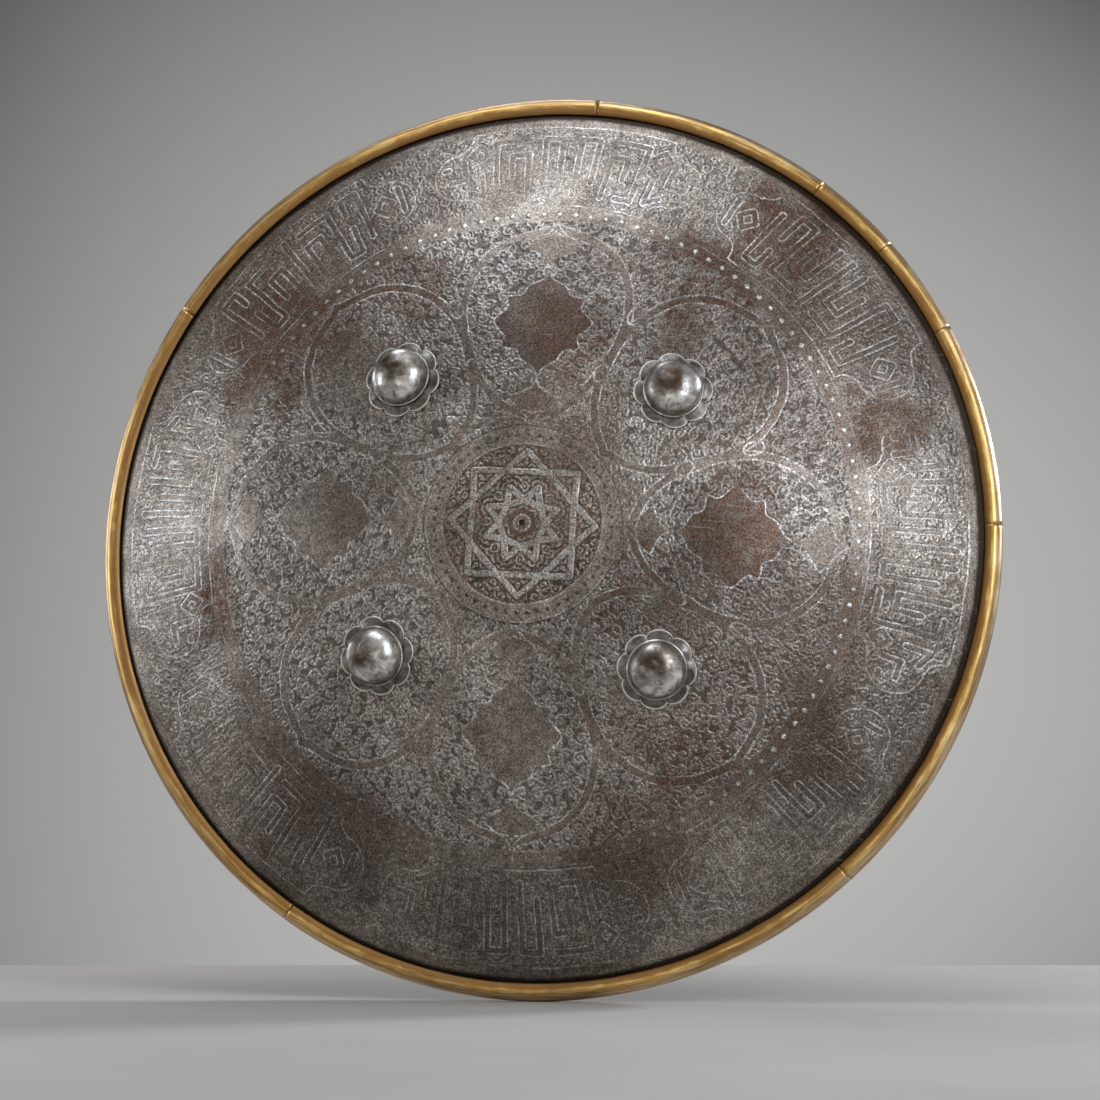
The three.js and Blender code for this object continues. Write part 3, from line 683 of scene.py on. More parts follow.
def engrave(x, z, cell, seed):
    """What the chaser and the years did at each point of the face, each as a share from 0 to 1."""
    wobble, fine, patches = Noise(seed), Noise(seed + 1), Noise(seed + 2)
    flat_x, flat_z = x, z
    x = x + STRAY * (wobble(flat_x, flat_z, STRAY_LENGTH, 2) - 0.5)
    x = x + SHAKE * (fine(flat_x, flat_z, SHAKE_LENGTH, 1) - 0.5)
    z = z + STRAY * (wobble(flat_x + 400, flat_z, STRAY_LENGTH, 2) - 0.5)
    z = z + SHAKE * (fine(flat_x + 300, flat_z, SHAKE_LENGTH, 1) - 0.5)
    radius, angle = np.hypot(x, z), np.arctan2(x, z)
    sector = np.round(angle / SECTOR_ANGLE)
    local = angle - sector * SECTOR_ANGLE
    sector = sector.astype(int) % SECTORS
    across, along = radius * np.sin(local), radius * np.cos(local)
    on_axis = sector % 2 == 0

    medallion = Outline(MEDALLION_CENTRE, MEDALLION_HALF).distance(across, along)
    cartouche = np.where(on_axis, Outline(101, CARTOUCHE_HALF, 6).distance(across, along), 9)
    palmette = np.minimum(Outline(60, PALMETTE_IN_HALF).distance(across, along),
                          Outline(142, PALMETTE_OUT_HALF).distance(across, along))
    palmette = np.where(on_axis, palmette, 9)

    # scrollwork, folded so that each sector is alike on both sides
    tile = scroll_tile(cell)
    turn = np.array(SCROLL_TURNS)[sector]
    fold = np.abs(across)
    tile_x = fold * np.cos(turn) - along * np.sin(turn) + sector * 13.7
    tile_z = fold * np.sin(turn) + along * np.cos(turn) + sector * 7.9
    gap = tile.at(tile_x, tile_z) + 0.34 * (fine(flat_x + 90, flat_z, 2.2, 2) - 0.5)
    scroll = smooth(0.14, -0.24, gap)

    field = (radius > ROUNDEL_OUTER + 0.8) & (radius < BORDER_INNER - 0.6)
    band = (medallion < 0) & (medallion > -MEDALLION_BAND)
    plain = band | (palmette < 0) | (cartouche < 0)
    filler = field & ~plain
    lines = np.zeros_like(x)
    edges = [(medallion, 0.75), (medallion + MEDALLION_BAND, 0.65), (cartouche, 0.75), (palmette, 0.7)]
    for distance, width in edges:
        lines = np.maximum(lines, line(distance, width) * field)
    # collars that tie neighbours together
    edge = radius * np.sin(SECTOR_ANGLE / 2 - np.abs(local))
    collars = np.minimum(*[np.hypot(edge, (radius - at) / stretch) - size for at, stretch, size in COLLARS])
    lines = np.maximum(lines, line(collars, 0.8) * field)
    filler &= collars > 0

    circles = [(HOLE_RING_RADIUS, 1.2, 0.8), (ROUNDEL_INNER, 0.85, 1.0), (ROUNDEL_OUTER, 0.8, 0.9),
               (BORDER_INNER, 0.7, 0.35), (BORDER_OUTER, 0.6, 0.35)]
    for at, width, strength in circles:
        lines = np.maximum(lines, line(radius - at, width * 0.85) * strength)
    roundel_dots = dots_distance(angle, radius, (ROUNDEL_INNER + ROUNDEL_OUTER) / 2, ROUNDEL_DOTS, 0.95)
    border_dots = dots_distance(angle, radius, (BORDER_INNER + BORDER_OUTER) / 2, BORDER_DOTS, 1.05)
    # the border's dots are painted fainter towards the lower left, in tone and in relief: painted light, as
    # if lit from the upper right
    dot_light_share = 0.25 + 0.75 * smooth(-90, 60, flat_x + flat_z)
    dots, pits = smooth(0.25, -0.25, border_dots) * dot_light_share, smooth(0.25, -0.25, roundel_dots)

    band_lines, band_leaves, inside, between = band_marks(tile, radius, angle, local, sector)
    star_drawn, star_leaves, straps, middle = star_marks(tile, radius, angle, across, along)
    lines = np.maximum.reduce([lines, band_lines, star_drawn])
    small = np.maximum(band_leaves, star_leaves)

    # years of cleaning have worn the ornament down in places
    worn = smooth(0.52, 0.78, patches(flat_x, flat_z, 34, 4))
    kept = 1 - 0.6 * worn
    caught = smooth(0.25, 0.6, fine(flat_x + 700, flat_z, 9, 3))
    lit = smooth(0.36, 0.62, wobble(flat_x + 150, flat_z, 24, 3))
    drawn = lines * (0.2 + 0.8 * caught) * (0.5 + 0.5 * lit) * (1 - 0.4 * worn)
    filled = np.maximum.reduce([scroll * filler, small, straps])
    # the edges of the scroll strokes are painted lighter: a painted highlight along them
    rubbed = line(gap + 0.12, 0.5) * filler * (0.3 + 0.7 * caught)
    sunk = np.maximum.reduce([filler * 1.0, inside * 0.35, between * 0.6, middle * 1.3])
    height = -0.9 * sunk * (1 - filled) * kept + 0.25 * filled * kept - 0.45 * drawn
    # dirt lies in the grooves of the roundel, and its straps are rubbed bright
    ringed = (radius > ROUNDEL_INNER) & (radius < ROUNDEL_OUTER)
    grooves = np.maximum(line(radius - ROUNDEL_INNER + 1.0, 1.1), line(radius - ROUNDEL_OUTER - 0.9, 0.9))
    gaps = middle * (1 - np.maximum(filled, drawn)) * (radius > HOLE_RING_RADIUS)
    bright = (0.22 * straps + 0.13 * ringed * (1 - pits)) * (0.5 + 0.5 * caught)
    stain = np.maximum.reduce([0.85 * gaps, 0.9 * grooves, 0.9 * pits])
    return {
        "height": height + 0.8 * dots - 0.6 * pits,
        "drawn": np.maximum.reduce([drawn, dots, 0.28 * rubbed * kept, bright]),
        "filled": filled * kept,
        "ground": np.maximum(sunk * (1 - filled) * kept, pits),
        "cartouche": smooth(0.6, -0.9, cartouche) * np.array(CARTOUCHE_SHARES)[sector],
        "stain": stained(flat_x, flat_z, stain, patches),
        "worn": worn,
    }


# The plate

class PlateSettings(bpy.types.PropertyGroup):
    grain: FloatProperty(name="Grain", description="Space between neighbouring points of the face, in mm",
                         default=0.46, min=0.3)
    relief: FloatProperty(name="Relief", description="How far the ornament stands out, in mm", default=0.30)
    hammering: FloatProperty(name="Hammering", description="Unevenness left by the hammer, in mm",
                             default=0.16)
    scroll_cell: FloatProperty(name="Scroll cell", description="Space for one curl of the scrollwork, in mm",
                               default=6.0)
    seed: IntProperty(name="Seed", description="Picks the wear and the stains", default=11)
    steel: FloatVectorProperty(name="Steel", subtype="COLOR", default=(0.186, 0.158, 0.136))
    drawn: FloatVectorProperty(name="Drawn lines", subtype="COLOR", default=(0.46, 0.445, 0.425))
    ground: FloatVectorProperty(name="Sunk ground", subtype="COLOR", default=(0.092, 0.079, 0.068))
    stain: FloatVectorProperty(name="Stain", subtype="COLOR", default=(0.076, 0.043, 0.030))
    cartouche: FloatVectorProperty(name="Cartouche", subtype="COLOR", default=(0.092, 0.073, 0.065))


# The number of points on a ring of the disc is a multiple of this
RING_LOT = 96
# Space between neighbouring points of the plate's back, in mm
BACK_GRAIN = 2.4


def zipper(inner, outer):
    """Triangles between two rings that go round together with different numbers of points."""
    step = np.arange(inner)
    apex = np.round((step + 0.5) * outer / inner).astype(int)
    inward = np.stack([step, inner + apex % outer, (step + 1) % inner], -1)
    step = np.arange(outer)
    base = np.searchsorted(apex, step, side="right") % inner
    return np.vstack([inward, np.stack([inner + step, inner + (step + 1) % outer, base], -1)])


def disc(low, high, grain):
    """Radius and angle of points evenly spread on rings from low to high, and the faces between them."""
    radii = np.linspace(low, high, int(round((high - low) / grain)) + 1)
    counts = [max(int(math.ceil(TURN * radius / grain / RING_LOT)), 1) * RING_LOT for radius in radii]
    starts = np.concatenate([[0], np.cumsum(counts)])
    radius = np.concatenate([np.full(count, at) for at, count in zip(radii, counts)])
    angle = np.concatenate([np.arange(count) * TURN / count for count in counts])
    quads, triangles = [], []
    for start, count, after in zip(starts, counts, counts[1:]):
        if count == after:
            j = np.arange(count)
            k = (j + 1) % count
            quads.append(np.stack([j, count + j, count + k, k], -1) + start)
        else:
            triangles.append(zipper(count, after) + start)
    return radius, angle, np.vstack(quads), np.vstack(triangles), counts


def give(mesh, values):
    """Stores a value for each point under each name."""
    for name, found in values.items():
        made = mesh.attributes.new(name, "FLOAT", "POINT")
        made.data.foreach_set("value", np.asarray(found, np.float32))


def lay_out(mesh, u, v):
    """A flat layout of the mesh on a square, for painting the material on."""
    layer = mesh.uv_layers.new(name="OFBake")
    corner = np.zeros(len(mesh.loops), np.int32)
    mesh.loops.foreach_get("vertex_index", corner)
    layer.data.foreach_set("uv", np.stack([u[corner], v[corner]], -1).astype(np.float32).ravel())


# The square that the layout covers is a little wider than the plate
LAYOUT_WIDTH = 2.02 * PLATE_RADIUS
# How wide the hammer's blows and the small dents are, and how deep the dents are against the blows
BLOW_WIDTH, DENT_WIDTH, DENT_SHARE = 46, 15, 0.35
# The same for the blows on the back
BACK_BLOW_WIDTH, BACK_BLOW_SHARE = 17, 1.4
# How far from the edge the relief of the face and of the back begins to fade, in mm
FACE_FADE, BACK_FADE = 4, 9
# Painted shade on the plate beside the rim, heaviest towards the upper right: its heavy side, how much wider
# it is there, how ragged it is, and where it fades, in mm
RIM_SHADE_SIDE, RIM_SHADE_WIDER, RIM_SHADE_RAGGED, RIM_SHADE_FADE = math.radians(40), 1.5, 1.0, (-1.7, 0.3)
# The colour of the painted shade beside the rim, and the colour of the scratches
RIM_SHADE_COLOUR, SCRATCH_COLOUR = (0.020, 0.013, 0.009), (0.42, 0.40, 0.38)
BACK_DARK, BACK_LIGHT = (0.15, 0.135, 0.12), (0.23, 0.21, 0.195)
BACK_RUST, BACK_PITS = (0.125, 0.062, 0.034), (0.06, 0.045, 0.038)


def plate_face(settings):
    """The engraved side of the plate, with its edge and the wall of its middle hole."""
    radius, angle, quads, triangles, counts = disc(CENTRE_HOLE_RADIUS, PLATE_RADIUS, settings.grain)
    x, z = radius * np.cos(angle), radius * np.sin(angle)
    marks = engrave(x, z, settings.scroll_cell, settings.seed)
    blows, dents = Noise(settings.seed + 5), Noise(settings.seed + 6)
    height = settings.relief * marks.pop("height")
    hammered = settings.hammering * (blows(x, z, BLOW_WIDTH, 2) - 0.5)
    height += hammered + DENT_SHARE * settings.hammering * (dents(x, z, DENT_WIDTH, 2) - 0.5)
    height *= smooth(PLATE_RADIUS + 0.5, PLATE_RADIUS - FACE_FADE, radius)
    points = bowl_point(x, z, -PLATE_THICKNESS / 2 - height)
    # the edge and the hole's wall, turned back to the plate's other side
    count, outer = len(points), counts[-1]
    rim, hole = count - outer + np.arange(outer), np.arange(counts[0])
    behind = np.concatenate([rim, hole])
    points = np.vstack([points, bowl_point(x[behind], z[behind], PLATE_THICKNESS / 2)])
    walls = []
    for ring, start, turn in ((rim, count, 1), (hole, count + outer, -1)):
        back = start + np.arange(len(ring))
        walls.append(np.stack([ring, back, np.roll(back, -1), np.roll(ring, -1)], -1)[:, ::turn])
    mesh = make_mesh("shield_plate_face", points, np.vstack([quads, *walls]), triangles)
    # painted shade in the corner between the plate and the rim, wider towards the upper right
    side = 0.5 + 0.5 * np.cos(np.arctan2(z, x) - RIM_SHADE_SIDE)
    edge = radius - (BEAD_CENTRE_RADIUS - BEAD_RADIUS) + RIM_SHADE_WIDER * side
    marks["rim_shade"] = smooth(*RIM_SHADE_FADE, edge + RIM_SHADE_RAGGED * (dents(x + 300, z, 11, 3) - 0.5))
    give(mesh, {name: np.concatenate([found, found[behind]]) for name, found in marks.items()})
    flat = np.concatenate([x, x[behind]]), np.concatenate([z, z[behind]])
    lay_out(mesh, flat[0] / LAYOUT_WIDTH + 0.5, flat[1] / LAYOUT_WIDTH + 0.5)
    return mesh


def plate_back(settings):
    """The hollow side of the plate, which keeps the marks of the hammer."""
    radius, angle, quads, triangles, _ = disc(CENTRE_HOLE_RADIUS, PLATE_RADIUS, BACK_GRAIN)
    x, z = radius * np.cos(angle), radius * np.sin(angle)
    blows = Noise(settings.seed + 7)
    dip = BACK_BLOW_SHARE * settings.hammering * np.abs(blows(x, z, BACK_BLOW_WIDTH, 2) - 0.5)
    dip = dip * smooth(PLATE_RADIUS, PLATE_RADIUS - BACK_FADE, radius)
    points = bowl_point(x, z, PLATE_THICKNESS / 2 - dip)
    mesh = make_mesh("shield_plate_back", points, quads[:, ::-1], triangles[:, ::-1])
    lay_out(mesh, 0.5 - x / LAYOUT_WIDTH, z / LAYOUT_WIDTH + 0.5)
    return mesh


def engraved_steel(settings):
    """Old steel with a brown skin: speckled all over, bright only along the drawn lines."""
    finish = Finish("engraved_steel", metallic=1.0)
    drawn, filled, ground = (finish.attribute(name) for name in ("drawn", "filled", "ground"))
    stain, worn = finish.attribute("stain"), finish.attribute("worn")
    cartouche, rim_shade = finish.attribute("cartouche"), finish.attribute("rim_shade")
    cloud, mottle, broad = finish.noise(34, 5, 0.62), finish.noise(4.2, 5, 0.7), finish.noise(75, 4, 0.6, 0.6)
    speck, dust = finish.noise(1.1, 3, 0.62), finish.noise(0.55, 2, 0.6)
    colour = finish.mix(finish.span(cloud, 0.34, 0.68), settings.steel,
                        [value * share for value, share in zip(settings.steel, (0.80, 0.76, 0.72))])
    colour = finish.mix(finish.times(cartouche, 0.85), colour, settings.cartouche)
    colour = finish.mix(finish.times(ground, 0.75), colour, settings.ground)
    colour = finish.mix(finish.times(filled, finish.span(speck, 0.3, 0.65, 0.05, 0.28)), colour,
                        settings.drawn)
    browned = finish.times(stain, finish.span(mottle, 0.36, 0.58, 0.35, 1.0))
    colour = finish.mix(browned, colour, settings.stain)
    colour = finish.mix(finish.times(drawn, finish.span(speck, 0.2, 0.6, 0.35, 0.95)), colour,
                        settings.drawn)
    # speckles, coarse and fine
    speckles = (speck, 0.60, 1.40), (dust, 0.66, 1.34), (mottle, 0.74, 1.28), (broad, 0.72, 1.26)
    for pattern, low, high in speckles:
        colour = finish.mix(1.0, colour, finish.span(pattern, 0.32, 0.68, low, high), "MULTIPLY")
    # painted shade beside the rim
    colour = finish.mix(finish.times(rim_shade, 0.97), colour, RIM_SHADE_COLOUR)
    # fine scratches from cleaning, long one way and short the other
    scratch = finish.noise(1.0, 2, 0.5, place=finish.stretched((1.0, 1.0, 0.045)))
    scratch_b = finish.noise(1.2, 2, 0.5, place=finish.stretched((0.05, 0.05, 1.0)))
    scratched = finish.plus(finish.span(scratch, 0.67, 0.74), finish.span(scratch_b, 0.68, 0.75))
    colour = finish.mix(finish.times(scratched, 0.16), colour, SCRATCH_COLOUR)
    rough = finish.plus(finish.span(cloud, 0.3, 0.7, 0.31, 0.41), finish.times(ground, 0.08))
    rough = finish.plus(rough, finish.times(browned, 0.12))
    rough = finish.minus(rough, finish.times(worn, 0.04))
    grain = finish.plus(finish.times(dust, 0.8), speck)
    finish.set(base_color=colour, roughness=rough, normal=finish.bump(grain, 0.08))
    return finish.material


def back_steel():
    """The dull steel of the hollow side, clouded and rusty in patches."""
    finish = Finish("back_steel", metallic=1.0)
    cloud, rust, pits = finish.noise(40, 5, 0.6), finish.noise(11, 6, 0.68), finish.noise(1.4, 3, 0.6)
    colour = finish.mix(cloud, BACK_DARK, BACK_LIGHT)
    rusty = finish.span(rust, 0.5, 0.74, 0.0, 0.62)
    colour = finish.mix(rusty, colour, BACK_RUST)
    colour = finish.mix(finish.span(pits, 0.6, 0.72, 0.0, 0.6), colour, BACK_PITS)
    metal = finish.minus(1.0, finish.times(rusty, 0.5))
    finish.set(base_color=colour, metallic=metal, roughness=finish.span(rust, 0.4, 0.7, 0.44, 0.62),
               normal=finish.bump(finish.plus(pits, rust), 0.12))
    return finish.material


# The rim

class RimSettings(bpy.types.PropertyGroup):
    row: FloatProperty(name="Row", description="Length of one row of faces along the rim, in mm", default=1.6)
    dents: FloatProperty(name="Dents", description="Unevenness of the rolled brass, in mm", default=0.26)
    joint: FloatProperty(name="Joint", description="Gap between two strips, in mm", default=0.1)
    brass: FloatVectorProperty(name="Brass", subtype="COLOR", default=(0.54, 0.325, 0.082))
    worn: FloatVectorProperty(name="Worn brass", subtype="COLOR", default=(0.72, 0.49, 0.175))
    # Brown of the streaks and of the flank beside the plate: tarnish, and on the flank also painted shade
    flank_brown_and_shade: FloatVectorProperty(name="Inner flank", subtype="COLOR", default=(0.215, 0.098, 0.024))
    outer: FloatVectorProperty(name="Outer edge", subtype="COLOR", default=(0.43, 0.325, 0.215))
    tarnish: FloatVectorProperty(name="Tarnish", subtype="COLOR", default=(0.12, 0.055, 0.018))


BEAD_SLOT_HALF = PLATE_THICKNESS / 2 + 0.4
BEAD_SPANS = 44
STRIP_SWELLS = [0.0, 0.07, 0.02, 0.06, 0.0, 0.05, 0.02, 0.0]


def bead_section():
    """The strip's outside and inside: forward and outward from the bead's centre, and the turn round it."""
    slot = float(slope_at(BEAD_CENTRE_RADIUS)) - math.pi / 2
    found = []
    for radius, order in ((BEAD_RADIUS, 1), (BEAD_RADIUS - BEAD_WALL, -1)):
        lip = math.asin(BEAD_SLOT_HALF / radius)
        turn = np.linspace(slot + lip, slot + TURN - lip, BEAD_SPANS + 1)
        forward, out = radius * np.cos(turn), radius * np.sin(turn)
        low = -BEAD_BACK if order > 0 else -BEAD_BACK + BEAD_WALL
        found.append(np.stack([np.maximum(forward, low), out, turn - slot], -1)[::order])
    return found[0], found[1]


def rim_strip(index, settings):
    """One strip of brass rolled over the plate's edge."""
    start, end = STRIP_STARTS_DEG[index], STRIP_STARTS_DEG[(index + 1) % len(STRIP_STARTS_DEG)]
    end += 360 * (end < start)
    trim = math.degrees(settings.joint / 2 / SHIELD_RADIUS)
    start, end = math.radians(start + trim), math.radians(end - trim)
    rows = int((end - start) * BEAD_CENTRE_RADIUS / settings.row) + 2
    way = np.linspace(start, end, rows)
    outside, inside = bead_section()
    section = np.vstack([outside, inside])
    wave, knocks = Noise(40 + index), Noise(60 + index)
    along = way[:, None] * BEAD_CENTRE_RADIUS
    round_it = section[None, :, 2] * BEAD_RADIUS
    knocked = smooth(0.6, 0.9, knocks(along, round_it, 9, 2))
    dent = settings.dents * (0.6 * wave(along, round_it, 34, 2) + 0.4 * knocked) + STRIP_SWELLS[index]
    shrink = 1 - dent / BEAD_RADIUS
    forward, out = section[None, :, 0] * shrink, section[None, :, 1] * shrink
    radius = BEAD_CENTRE_RADIUS + out
    cos, sin = np.cos(way)[:, None], np.sin(way)[:, None]
    points = np.stack([radius * cos, -BEAD_BACK - forward, radius * sin], -1)
    sides = section.shape[0]
    flat, quads, _ = skin(points, capped=False)
    # the cut ends, one face for each span of the section
    ends = []
    for row, turn in ((0, 1), (rows - 1, -1)):
        i = np.arange(BEAD_SPANS)
        ends.append((np.stack([i, i + 1, sides - 2 - i, sides - 1 - i], -1) + row * sides)[:, ::turn])
    mesh = closed_mesh(f"brass_rim_strip_{index + 1}", flat, np.vstack([quads, *ends]))
    share = (way - start) / (end - start)
    near_end = np.minimum(way - start, end - way) * BEAD_CENTRE_RADIUS
    grid = np.broadcast_to(section[None, :, 2], points.shape[:2])
    give(mesh, {"along": np.broadcast_to(along, grid.shape).ravel(), "round": grid.ravel() * BEAD_RADIUS,
                "end": np.broadcast_to(smooth(3, 0, near_end)[:, None], grid.shape).ravel()})
    inner = np.arange(sides) >= sides // 2
    v = np.where(inner, 0.75 + section[:, 2] / TURN / 4.1, section[:, 2] / TURN / 1.4)
    lay_out(mesh, np.broadcast_to(share[:, None], grid.shape).ravel(), np.broadcast_to(v, grid.shape).ravel())
    return mesh


def brass(settings):
    """Rolled brass: golden where hands rub it, brown towards the plate from tarnish and painted shade, with
    scratches along the strip.
    """
    finish = Finish("rim_brass", metallic=1.0)
    along, round_it, end = (finish.attribute(name) for name in ("along", "round", "end"))
    place, long_place = finish.node("ShaderNodeCombineXYZ"), finish.node("ShaderNodeCombineXYZ")
    finish.fill(place, X=finish.times(along, MM), Y=finish.times(round_it, MM))
    finish.fill(long_place, X=finish.times(along, 0.06 * MM), Y=finish.times(round_it, MM))
    patches = finish.noise(14, 5, 0.62, 0.4, place.outputs["Vector"])
    specks = finish.noise(2.2, 5, 0.72, 0.3, place.outputs["Vector"])
    streaks = finish.noise(0.9, 3, 0.6, 0.0, long_place.outputs["Vector"])
    # the turn round the section: 0 at the plate's front side, 1 at the crest, 2.6 at the outermost edge
    turn = finish.math("DIVIDE", round_it, BEAD_RADIUS)
    turn = finish.plus(turn, finish.span(patches, 0.2, 0.8, -0.14, 0.14))
    colour = finish.mix(finish.span(patches, 0.35, 0.7), settings.brass, settings.worn)
    # the flank beside the plate is painted dark brown: partly tarnish, partly painted shade
    flank_brown_and_shade = finish.larger(finish.span(turn, 1.16, 0.84), finish.span(turn, 4.4, 5.2))
    colour = finish.mix(finish.times(flank_brown_and_shade, 0.85), colour, settings.flank_brown_and_shade)
    outer = finish.times(finish.span(turn, 1.30, 1.70), finish.span(turn, 3.8, 3.2))
    colour = finish.mix(finish.times(outer, finish.span(patches, 0.3, 0.6, 0.45, 0.8)), colour,
                        settings.outer)
    colour = finish.mix(finish.span(streaks, 0.42, 0.68, 0.0, 0.62), colour, settings.flank_brown_and_shade)
    brown = finish.noise(3.6, 6, 0.7, 0.4, long_place.outputs["Vector"])
    colour = finish.mix(finish.span(brown, 0.43, 0.62, 0.0, 0.78), colour, settings.flank_brown_and_shade)
    spots = finish.times(finish.span(specks, 0.60, 0.72), finish.span(flank_brown_and_shade, 0.0, 1.0, 0.35, 0.8))
    spots = finish.larger(spots, finish.times(end, finish.span(specks, 0.42, 0.62, 0.0, 0.25)))
    colour = finish.mix(finish.times(spots, 0.85), colour, settings.tarnish)
    rough = finish.plus(finish.span(patches, 0.3, 0.7, 0.32, 0.44), finish.times(flank_brown_and_shade, 0.14))
    rough = finish.plus(rough, finish.times(spots, 0.2))
    relief = finish.plus(finish.times(streaks, 0.9), finish.times(spots, -0.3))
    finish.set(base_color=colour, roughness=rough, normal=finish.bump(relief, 0.035), coat_weight=0.35,
               coat_roughness=0.3)
    return finish.material


# Bosses and rosettes

class BossSettings(bpy.types.PropertyGroup):
    sides: IntProperty(name="Sides", description="Faces round a boss", default=128)
    dish: FloatProperty(name="Dish", description="How far each petal swells, in mm", default=0.2)
    lip: FloatProperty(name="Lip", description="How far the edge of a petal is turned up, in mm",
                       default=0.28)
    steel: FloatVectorProperty(name="Steel", subtype="COLOR", default=(0.66, 0.63, 0.60))
    stain: FloatVectorProperty(name="Stain", subtype="COLOR", default=(0.056, 0.038, 0.027))


# The rounding of a boss's foot, outwards in mm and back as a share of the foot
BOSS_FOOT_EDGE, FOOT_BULGE = 0.35, 0.46
# A power under 1 makes the dome fuller at the shoulder than a part of a ball
BOSS_FULLNESS = 0.87
BOSS_DENTS, BOSS_DENT_WIDTH = 0.16, 8
# The dark brown patch near a dome's crown: where it lies, and from where it fades, as shares of the dome
CROWN_ACROSS, CROWN_UP, CROWN_FADE = -1.8, 1.6, (0.85, 0.3)
PETAL_INNER_RADIUS = 11.0
PETAL_SIDES, PETAL_ROWS = 40, 22
BOSS_SCRATCHES, BOSS_PITS = (0.72, 0.70, 0.67), (0.14, 0.10, 0.075)
ROSETTE_DIMMED, ROSETTE_EDGE = (0.26, 0.248, 0.236), (0.78, 0.74, 0.67)


def boss_dome(name, settings):
    """A raised boss with a thin rolled foot."""
    top, shoulder = BOSS_SEAT - BOSS_HEIGHT, BOSS_SEAT - BOSS_FOOT
    wide = BOSS_RADIUS + BOSS_FLARE
    profile = [(wide - BOSS_FOOT_EDGE, BOSS_SEAT)]
    bulge = BOSS_FOOT * FOOT_BULGE
    for turn in np.linspace(0, math.pi, 9):
        profile.append((wide - BOSS_FOOT_EDGE + BOSS_FOOT_EDGE * math.sin(turn),
                        BOSS_SEAT - bulge + bulge * math.cos(turn)))
    profile.append((BOSS_RADIUS + 0.02, shoulder + 0.06))
    for turn in np.linspace(0, math.pi / 2, 34)[:-1]:
        profile.append((BOSS_RADIUS * math.cos(turn) ** BOSS_FULLNESS,
                        shoulder - (shoulder - top) * math.sin(turn) ** BOSS_FULLNESS))
    rings = np.array(turned(profile, settings.sides))
    uneven = Noise(80 + list(CORNERS).index(name))
    dome = smooth(shoulder, shoulder - 1.5, rings[..., 1])
    rough = uneven(rings[..., 0] + 40, rings[..., 2] + 40, BOSS_DENT_WIDTH, 2)
    rings[..., 1] += BOSS_DENTS * (rough - 0.5) * dome
    away = np.hypot(rings[..., 0] - CROWN_ACROSS, rings[..., 2] - CROWN_UP) / BOSS_RADIUS
    crown = smooth(*CROWN_FADE, away) * dome
    points, quads, fans = skin(rings)
    mesh = closed_mesh("polished_boss_" + name, at_corner(name, points), quads, fans)
    give(mesh, {"crown": [*crown.ravel(), 0, 1]})
    return mesh


def boss_rosette(name, settings):
    """A thin rosette: eight round petals that swell a little and have a lip turned up at the edge."""
    _, _, turn_deg = CORNERS[name]
    sides, rows = PETALS * PETAL_SIDES, PETAL_ROWS
    angle = round_turn(sides)
    local = angle - math.radians(turn_deg)
    petal = np.abs(np.cos(PETALS / 2 * local)) ** 0.5
    reach = PETAL_CUSP_RADIUS + (PETAL_TIP_RADIUS - PETAL_CUSP_RADIUS) * petal
    share = np.linspace(0, 1, rows) ** 0.8
    radius = PETAL_INNER_RADIUS + (reach[None] - PETAL_INNER_RADIUS) * share[:, None]
    # away from a petal's middle line and towards the cusps the metal dips into a valley
    valley = smooth(0.55, 0.0, petal)[None] * smooth(0.3, 0.8, share)[:, None]
    swell = settings.dish * np.sin(np.pi * np.clip(share * 1.06 - 0.06, 0, 1))[:, None] * petal[None]
    lip = settings.lip * np.exp(-((share[:, None] - 0.965) / 0.035) ** 2)
    height = PETAL_THICKNESS - 0.75 * smooth(0.35, 1.0, share)[:, None] + swell + lip - 0.3 * valley
    sag = BOWL_RISE * (radius / PLATE_RADIUS) ** 2
    front = ROSETTE_SEAT + sag - height
    back = ROSETTE_SEAT + sag
    edge_radius, edge_depth = reach + 0.06, (front[-1] + back[-1]) / 2
    rings = []
    ways = [*zip(radius, front), (edge_radius, edge_depth), *zip(radius[::-1], back[::-1])]
    for row_radius, row_depth in ways:
        rings.append(np.stack([row_radius * np.sin(angle), row_depth, row_radius * np.cos(angle)], -1))
    points, quads, _ = skin(rings, closed_row=True)
    mesh = closed_mesh("petalled_rosette_" + name, at_corner(name, points), quads)
    edge = np.concatenate([np.repeat(smooth(0.86, 0.99, share), sides), np.ones(sides),
                           np.repeat(smooth(0.86, 0.99, share[::-1]), sides)])
    give(mesh, {"edge": edge})
    return mesh


